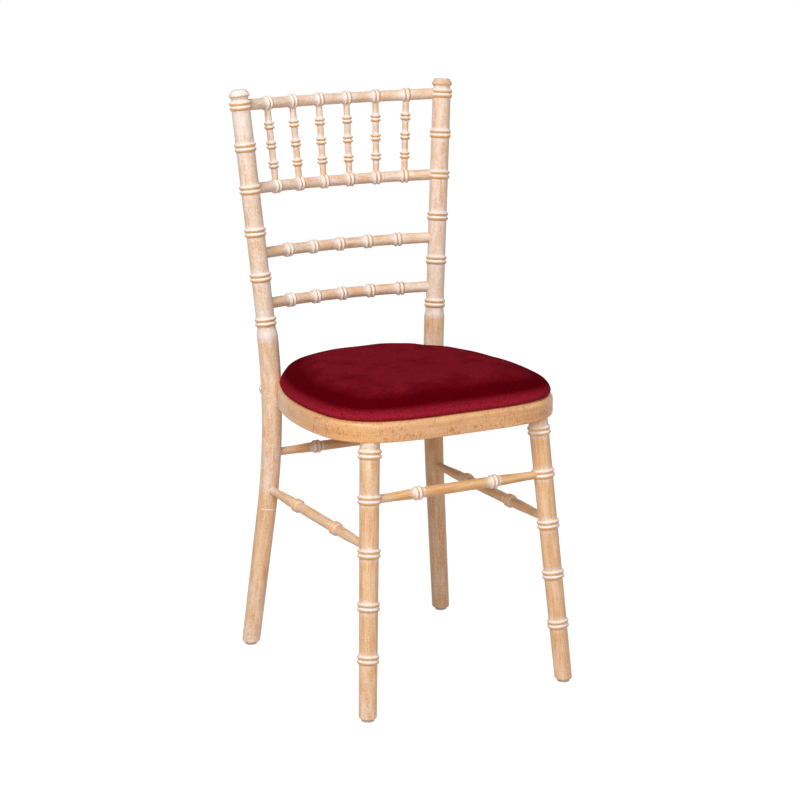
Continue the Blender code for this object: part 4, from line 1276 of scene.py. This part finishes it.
@dataclass
class SeatRing:
    """The bentwood hoop: one section carried round the seat's outline.

    veils says how much wash lies in two places: its amount, the place's heading from the front in degrees, positive
    on the right, and its spread in degrees.
    """

    outline: SeatOutline
    finish: bpy.types.Material
    width: float = 0.032
    height: float = 0.031
    underside: float = 0.425
    top_round: float = 0.009
    edge_round: float = 0.002
    rebate: float = 0.009
    fullness: float = 2.2
    step: float = 6 * MM
    grain_shift: Triple = (0.31, 0.72, 1.37)
    thin_veil: float = 0.02
    veils: tuple[Triple, ...] = ((0.10, -105.0, 28.0), (0.16, -6.0, 24.0))
    sharp_degrees: float = 40.0

    def section(self) -> np.ndarray:
        """Outline of the section as (distance in from the outer face, height), up the outer face first.

        The outer top edge is a quarter of a superellipse, a little fuller than round, and the lower edges are
        quarter circles.

        Returns:
            (n, 2) points.
        """
        turn = np.linspace(0.0, math.pi / 2, 9)[:, None]
        e, r, w, h = self.edge_round, self.top_round, self.width, self.height
        low_outer = np.hstack((e - e * np.sin(turn), e - e * np.cos(turn)))
        power = 2.0 / self.fullness
        crown = np.hstack((r - r * np.cos(turn) ** power, h - r + r * np.sin(turn) ** power))
        step = np.array((
            (w - self.rebate, h), (w - self.rebate, h - self.rebate), (w, h - self.rebate),
        ))
        low_inner = np.hstack((w - e + e * np.cos(turn), e - e * np.sin(turn)))
        face = np.linspace(e, h - r, 6)[1:-1, None]
        outer = np.hstack((np.zeros_like(face), face))
        return np.concatenate((low_outer, outer, crown, step, low_inner))

    def build(self) -> None:
        """Sweep the section round the outline: P(s) - d N(s), at height z, for each (d, z) of the section."""
        points, headings = self.outline.whole(self.step)
        section = self.section()
        out = outward(headings)
        plan = points[:, None] - out[:, None] * section[None, :, :1]
        height = np.broadcast_to(self.underside + section[:, 1], plan.shape[:2])
        grid = np.concatenate((plan, height[..., None]), axis=-1)
        stations, across, _ = grid.shape
        i, j = np.meshgrid(np.arange(stations), np.arange(across), indexing="ij")
        after, up = (i + 1) % stations, (j + 1) % across
        quads = np.stack((i * across + j, after * across + j, after * across + up, i * across + up), axis=-1)
        piece = surface("seat_ring_bent", grid.reshape(-1, 3), quads.reshape(-1, 4), NO_TRIANGLES)
        run = np.concatenate(((0.0,), np.cumsum(np.linalg.norm(np.diff(points, axis=0), axis=1))))
        grain = np.stack(np.broadcast_arrays(section[None, :, 0], section[None, :, 1], run[:, None]), axis=-1)
        note(piece, "grain", grain.reshape(-1, 3) + np.array(self.grain_shift))
        side = np.degrees(np.where(headings < math.pi, headings, headings - 2 * math.pi))
        veil = np.full(stations, self.thin_veil)
        for amount, heading, spread in self.veils:
            veil = veil + amount * np.exp(-((side - heading) / spread) ** 2)
        note(piece, "white", np.repeat(veil[:, None], across, axis=1).ravel())
        piece.data.set_sharp_from_angle(angle=math.radians(self.sharp_degrees))
        dress(piece, self.finish, CHAIR_BODY, "seat_ring")


@dataclass
class SeatPad:
    """The lift-off pad: velour drawn tight over foam, turned in under its board.

    insets gives its distance inside the ring's outline by heading in degrees. swell is how far the cloth may move
    when it is filled, and calm how often its moves are smoothed.
    """

    outline: SeatOutline
    finish: bpy.types.Material
    base: float = 0.4563
    insets: Knots = (
        (0.0, 1.8 * MM), (62.0, 1.8 * MM), (92.0, 0.7 * MM), (114.0, 0.0), (122.0, 5.2 * MM), (180.0, 5.6 * MM),
    )
    edge_draw: float = 4.5 * MM
    widest: float = 6.0 * MM
    rise: float = 36.0 * MM
    flatness: float = 5.0
    roundness: float = 2.2
    board_inset: float = 21.7 * MM
    board_top: float = 0.4646
    swell: float = 2.4 * MM
    step: float = 7.5 * MM
    shift: float = 0.5 * MM
    board_shares: tuple[float, ...] = (0.25, 0.5, 0.75, 1.0)
    pocket_rows: tuple[float, ...] = (4 * MM, 0.4 * MM)
    under_rows: tuple[float, ...] = (20.2 * MM, 16 * MM, 11 * MM, 7.5 * MM)
    side_rows: int = 5
    side_slack: float = 0.6
    edge_bulge: float = 0.8 * MM
    crown_rows: int = 34
    crowding: float = 1.9
    stapled: float = 9 * MM
    frames: int = 20
    calm: int = 12
    fullness: float = 0.85

    def margin(self, headings: np.ndarray) -> np.ndarray:
        """How far the pad stays inside the ring's outline: nearly nothing at the sides, and more at the posts."""
        return through(self.insets, np.degrees(np.minimum(headings, 2 * math.pi - headings)))

    def rows(self, slack: float) -> tuple[np.ndarray, np.ndarray, np.ndarray]:
        """Points of the closed pad, row by row from the middle of its underside to the middle of its top.

        The side bulges from the drawn-in edge to the widest line on a sine. Above it the crown's height is
        H (1 - (1 - t)^a)^(1/b) at the share t of the way to the middle.

        Args:
            slack: how much smaller than full size it is, so that it can swell.

        Returns:
            (rows, stations, 3) points and the two poles.
        """
        points, headings = self.outline.whole(self.step)
        points = points + np.array((self.shift, 0.0))
        out = outward(headings)
        margin = self.margin(headings)

        def drawn(by: float, height: float) -> np.ndarray:
            """The outline drawn in by a distance beyond its margin, at a height."""
            plan = points - out * (margin + by)[:, None]
            return np.column_stack((plan, np.full(len(plan), height)))

        slim = slack * self.side_slack
        full = drawn(slim, self.base + self.widest)
        middle = np.array((self.shift, (full[:, 1].min() + full[:, 1].max()) / 2, 0.0))
        ceiling = drawn(self.board_inset, self.board_top)
        stack = [middle + (ceiling - middle) * np.array((share, share, 1.0)) for share in self.board_shares]
        stack += [drawn(self.board_inset, self.base + lift) for lift in self.pocket_rows]
        stack += [drawn(by, self.base) for by in self.under_rows]
        for turn in np.linspace(0.0, math.pi / 2, self.side_rows)[:-1]:
            stack.append(drawn(self.edge_draw * (1 - math.sin(turn)) + slim + self.edge_bulge * math.cos(turn),
                               self.base + self.widest * (1 - math.cos(turn))))
        stack.append(full)
        for share in np.linspace(0.0, 1.0, self.crown_rows)[1:-1] ** self.crowding:
            lift = (self.rise - slack) * (1 - (1 - share) ** self.flatness) ** (1 / self.roundness)
            row = middle + (full - middle) * np.array((1 - share, 1 - share, 1.0))
            row[:, 2] = self.base + self.widest + lift
            stack.append(row)
        low = middle + np.array((0.0, 0.0, self.board_top))
        high = middle + np.array((0.0, 0.0, self.base + self.widest + self.rise - slack))
        return np.stack(stack), low, high

    def fill(self, piece: bpy.types.Object, stations: int) -> None:
        """Swell the pad as cloth under pressure, and keep each point within reach of where it was drawn.

        Each point's move is then averaged with those of its four neighbours, half and half, a few times over, which
        takes the cloth's fine wrinkles out, as the foam under it does.

        Args:
            piece: the pad, whose mesh is changed.
            stations: points in each of its rows.
        """
        rest = at_points(piece.data)
        held = piece.vertex_groups.new(name="stapled")
        held.add(np.flatnonzero(rest[:, 2] < self.base + self.stapled).tolist(), 1.0, "REPLACE")
        cloth = piece.modifiers.new("foam", "CLOTH").settings
        for name, value in (
            ("quality", 6), ("mass", 0.25), ("tension_stiffness", 12.0), ("compression_stiffness", 12.0),
            ("shear_stiffness", 6.0), ("bending_stiffness", 2.0), ("use_pressure", True),
            ("uniform_pressure_force", 4.0), ("vertex_group_mass", held.name),
        ):
            setattr(cloth, name, value)
        cloth.effector_weights.gravity = 0.0
        scene = bpy.context.scene
        for frame_number in range(1, self.frames + 1):
            scene.frame_set(frame_number)
        graph = bpy.context.evaluated_depsgraph_get()
        move = at_points(piece.evaluated_get(graph).data) - rest
        length = np.linalg.norm(move, axis=1, keepdims=True)
        move *= np.minimum(1.0, self.swell / np.maximum(length, 1e-9))
        rows = move[:-2].reshape(-1, stations, 3)
        for _ in range(self.calm):
            across = np.pad(rows, ((1, 1), (0, 0), (0, 0)), mode="edge")
            rows = 0.5 * rows + 0.125 * (np.roll(rows, 1, 1) + np.roll(rows, -1, 1) + across[2:] + across[:-2])
        move[:-2] = rows.reshape(-1, 3)
        move[-2:] = rows[[0, -1]].mean(axis=1)
        piece.modifiers.clear()
        piece.vertex_groups.clear()
        piece.data.vertices.foreach_set("co", (rest + move).astype(np.float32).ravel())
        scene.frame_set(1)

    def build(self) -> None:
        """Make the pad, swell it and dress it."""
        slack = self.swell
        rows, low, high = self.rows(slack)
        piece = capped("seat_pad_velour", rows, low, high)
        # The slope picks the velour's painted light and shade: bright sides and a painted dark band at the turn
        note(piece, "slope", np.clip(at_points(piece.data, "normal")[:, 2], 0.0, 1.0))
        self.fill(piece, rows.shape[1])
        piece.data.update()
        soften = piece.modifiers.new("soften", "SUBSURF")
        soften.levels = 1
        soften.render_levels = 1
        dress(piece, self.finish, PAD_BODY, "seat_pad")


@dataclass
class Fixings:
    """Dome-headed post bolts and nailed glides."""

    outline: SeatOutline
    posts: RearPosts
    legs: FrontLegs
    steel: bpy.types.Material
    nylon: bpy.types.Material
    bolt_height: float = 0.435
    bolt_radius: float = 3.0 * MM
    head_radius: float = 7.0 * MM
    head_height: float = 4.5 * MM
    spot_depth: float = 1.3 * MM
    ring_width: float = 0.032
    tail: float = 9.8 * MM
    glide_radius: float = 10.0 * MM
    glide_height: float = 4.5 * MM
    glide_edge: float = 1.2 * MM
    pin_radius: float = 1.5 * MM
    pin_length: float = 14.0 * MM
    head_rim: float = 0.8 * MM
    sharp_degrees: float = 50.0

    def round_piece(self, name: str, line: StraightLine, knots: Knots, finish: bpy.types.Material,
                    around: int = 36) -> None:
        """Turn a small piece from (distance, radius) knots and dress it.

        Args:
            name: the node that it stands for.
            line: its axis.
            knots: its profile.
            finish: its material.
            around: points round it.
        """
        along, radii = (np.array(column) for column in zip(*knots))
        centres = line(along)
        tangent = unit(line.last - line.first)
        _, spoke = spokes(tangent[None], Z_AXIS if abs(tangent[2]) < 0.7 else Y_AXIS, around)
        piece = capped(name + "_turned", centres[:, None] + radii[:, None, None] * spoke, centres[0], centres[-1])
        piece.data.set_sharp_from_angle(angle=math.radians(self.sharp_degrees))
        dress(piece, finish, CHAIR_BODY, name)

    def build(self) -> None:
        """Make the bolts and the glides."""
        for side, line in self.posts.lines().items():
            out = self.outline.station(line.station)[1] * np.array((side.value, 1.0))
            out = np.array((out[0], out[1], 0.0))
            axis = line(np.array([self.bolt_height]))[0]
            inner = line.stand_off + self.ring_width + self.tail
            seat = inner + self.posts.seat_radius - self.spot_depth + GAP
            turn = np.linspace(0.0, math.pi / 2, 10)[:-1]
            rim, rise = seat + self.head_rim, self.head_height - self.head_rim
            dome = [(rim + rise * math.sin(a), self.head_radius * math.cos(a)) for a in turn]
            knots = [
                (0.0, self.bolt_radius - 0.6 * MM), (0.6 * MM, self.bolt_radius), (seat, self.bolt_radius),
                (seat, self.head_radius - 0.3 * MM), (seat + 0.3 * MM, self.head_radius), *dome,
            ]
            start = axis - out * inner
            self.round_piece("post_bolt_" + side.word, StraightLine(start, start + out), knots, self.steel)
        edge = np.linspace(0.0, math.pi / 2, 5)
        for row, lines in (("front", self.legs.lines()), ("rear", self.posts.lines())):
            for side, line in lines.items():
                foot = line(np.array([self.posts.foot]))[0] * np.array((1.0, 1.0, 0.0))
                r, e, h = self.glide_radius, self.glide_edge, self.glide_height
                knots = [(e - e * math.cos(a), r - e + e * math.sin(a)) for a in edge]
                knots += [(h - e + e * math.sin(a), r - e + e * math.cos(a)) for a in edge]
                knots += [(h, self.pin_radius), (h + self.pin_length, self.pin_radius)]
                self.round_piece("glide_%s_%s" % (row, side.word), StraightLine(foot, foot + Z_AXIS), knots,
                                 self.nylon, around=40)


def repaint(nodes: dict[str, bpy.types.Object], starts: Sequence[str], finish: bpy.types.Material) -> None:
    """Give the nodes whose names start so a better material.

    Args:
        nodes: node names and objects.
        starts: beginnings of the names.
        finish: the material.
    """
    for name, item in nodes.items():
        if name.startswith(tuple(starts)):
            for slot in item.material_slots:
                slot.material = finish
            LOG.info("%s: finished as %s", name, finish.name)


# Studio


@dataclass
class Studio:
    """Pale floor, white surroundings, three soft lamps and the photograph's camera."""

    seat_front: float
    camera_offset: Triple = (-1.7202, -2.8881, 1.2981)
    azimuth: float = -29.049
    elevation: float = 13.726
    focal_pixels: float = 2299.56
    image_pixels: int = 800
    surround: float = 0.087
    surround_colour: str = "FFEEE6"
    floor_half: float = 9.0
    paper: str = "D2C2B8"
    paper_seen: float = 0.22
    paper_glow: float = 0.98
    aim: Triple = (0.0, 0.0, 0.45)
    lamps: tuple[tuple[str, Triple, float, float], ...] = (
        ("key_softbox", (-3.06, -1.77, 4.66), 1.4, 160.0),
        ("front_softbox", (-2.57, -4.27, 2.77), 2.5, 142.0),
        ("right_softbox", (4.32, -2.49, 2.77), 1.5, 40.0),
    )

    def camera(self) -> None:
        """Place the camera, whose axes are worked out from the azimuth and the elevation."""
        turn, tilt = math.radians(self.azimuth), math.radians(self.elevation)
        back = Vector((math.sin(turn) * math.cos(tilt), -math.cos(turn) * math.cos(tilt), math.sin(tilt)))
        right = Vector((math.cos(turn), math.sin(turn), 0.0))
        data = bpy.data.cameras.new("photo_camera")
        data.sensor_fit = "HORIZONTAL"
        data.sensor_width = 36.0
        data.lens = self.focal_pixels / self.image_pixels * data.sensor_width
        made = bpy.data.objects.new("photo_camera", data)
        axes = Matrix((right, back.cross(right), back)).transposed().to_4x4()
        place = Vector(self.camera_offset) + Vector((0.0, self.seat_front, 0.0))
        made.matrix_world = Matrix.Translation(place) @ axes
        bpy.context.scene.collection.objects.link(made)
        bpy.context.scene.camera = made

    def floor(self) -> None:
        """Pale floor: the camera sees it near white with a faint shadow, and the chair sees plain pale paper."""
        corners = np.array(((-1, -1, 0), (1, -1, 0), (1, 1, 0), (-1, 1, 0)), float) * self.floor_half
        floor = surface("studio_floor", corners, np.array(((0, 1, 2, 3),)), NO_TRIANGLES)
        made = bpy.data.materials.new("studio paper")
        made.use_nodes = True
        tree = made.node_tree
        tree.nodes.clear()
        paper = node(tree, "BsdfDiffuse", {"Color": linear(self.paper)}).outputs[0]
        pale = node(tree, "BsdfDiffuse", {"Color": (*(self.paper_seen,) * 3, 1.0)}).outputs[0]
        glow = node(tree, "Emission", {"Color": WHITE, "Strength": self.paper_glow}).outputs[0]
        bright = node(tree, "AddShader", {0: pale, 1: glow}).outputs[0]
        node(tree, "OutputMaterial", {"Surface": by_ray(tree, paper, bright)})
        floor.data.materials.append(made)

    def world(self) -> None:
        """White to the eye and in reflections, and an even pale grey as a light."""
        made = bpy.data.worlds.new("studio")
        made.use_nodes = True
        tree = made.node_tree
        tree.nodes.clear()
        light = node(tree, "Background", {"Color": linear(self.surround_colour), "Strength": self.surround}).outputs[0]
        white = node(tree, "Background", {"Color": WHITE, "Strength": 1.0}).outputs[0]
        node(tree, "OutputWorld", {"Surface": by_ray(tree, light, white)})
        bpy.context.scene.world = made

    def light(self) -> None:
        """Hang the lamps, each aimed at the middle of the chair."""
        for name, place, size, power in self.lamps:
            data = bpy.data.lights.new(name, "AREA")
            data.shape = "SQUARE"
            data.size = size
            data.energy = power
            made = bpy.data.objects.new(name, data)
            made.location = place
            made.rotation_euler = (Vector(self.aim) - Vector(place)).to_track_quat("-Z", "Y").to_euler()
            bpy.context.scene.collection.objects.link(made)

    def build(self) -> None:
        """Set up the studio."""
        self.camera()
        self.floor()
        self.world()
        self.light()
        bpy.context.scene.view_settings.view_transform = "Standard"


def main() -> None:
    """Build the finished chair in its studio."""
    logging.basicConfig(level=logging.INFO, format="%(message)s")
    outline = SeatOutline(front=float(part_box("seat_ring")[0][1]))
    limed = LimedBeech().make()
    lacquered = LacqueredBeech().make()
    velour = Velour().make()
    birch = BirchPly().make()
    steel = PlainFinish("zinc-plated steel", "C6C7C9", "AEB0B4", 3.0, 0.4, 0.30, 1.0, 0.03).make()
    nylon = PlainFinish("moulded grey nylon", "D2CCC6", "BDB5AE", 5.0, 0.5, 0.45, 0.0, 0.05).make()
    tape = PlainFinish("hook-and-loop tape", "2A2A29", "141413", 2.0, 0.7, 0.80, 0.0, 0.40).make()
    posts = RearPosts(outline, limed)
    legs = FrontLegs(outline, limed)
    Studio(outline.front).build()
    posts.build()
    legs.build()
    Back(posts, limed).build()
    Stretchers(posts, legs, limed).build()
    SeatRing(outline, lacquered).build()
    SeatPad(outline, velour).build()
    Fixings(outline, posts, legs, steel, nylon).build()
    repaint(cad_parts, ("seat_panel", "pad_board"), birch)
    repaint(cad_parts, ("panel_screw", "bolt_washer", "bolt_nut"), steel)
    repaint(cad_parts, ("hook_patch", "loop_patch"), tape)


if __name__ == "__main__":
    main()
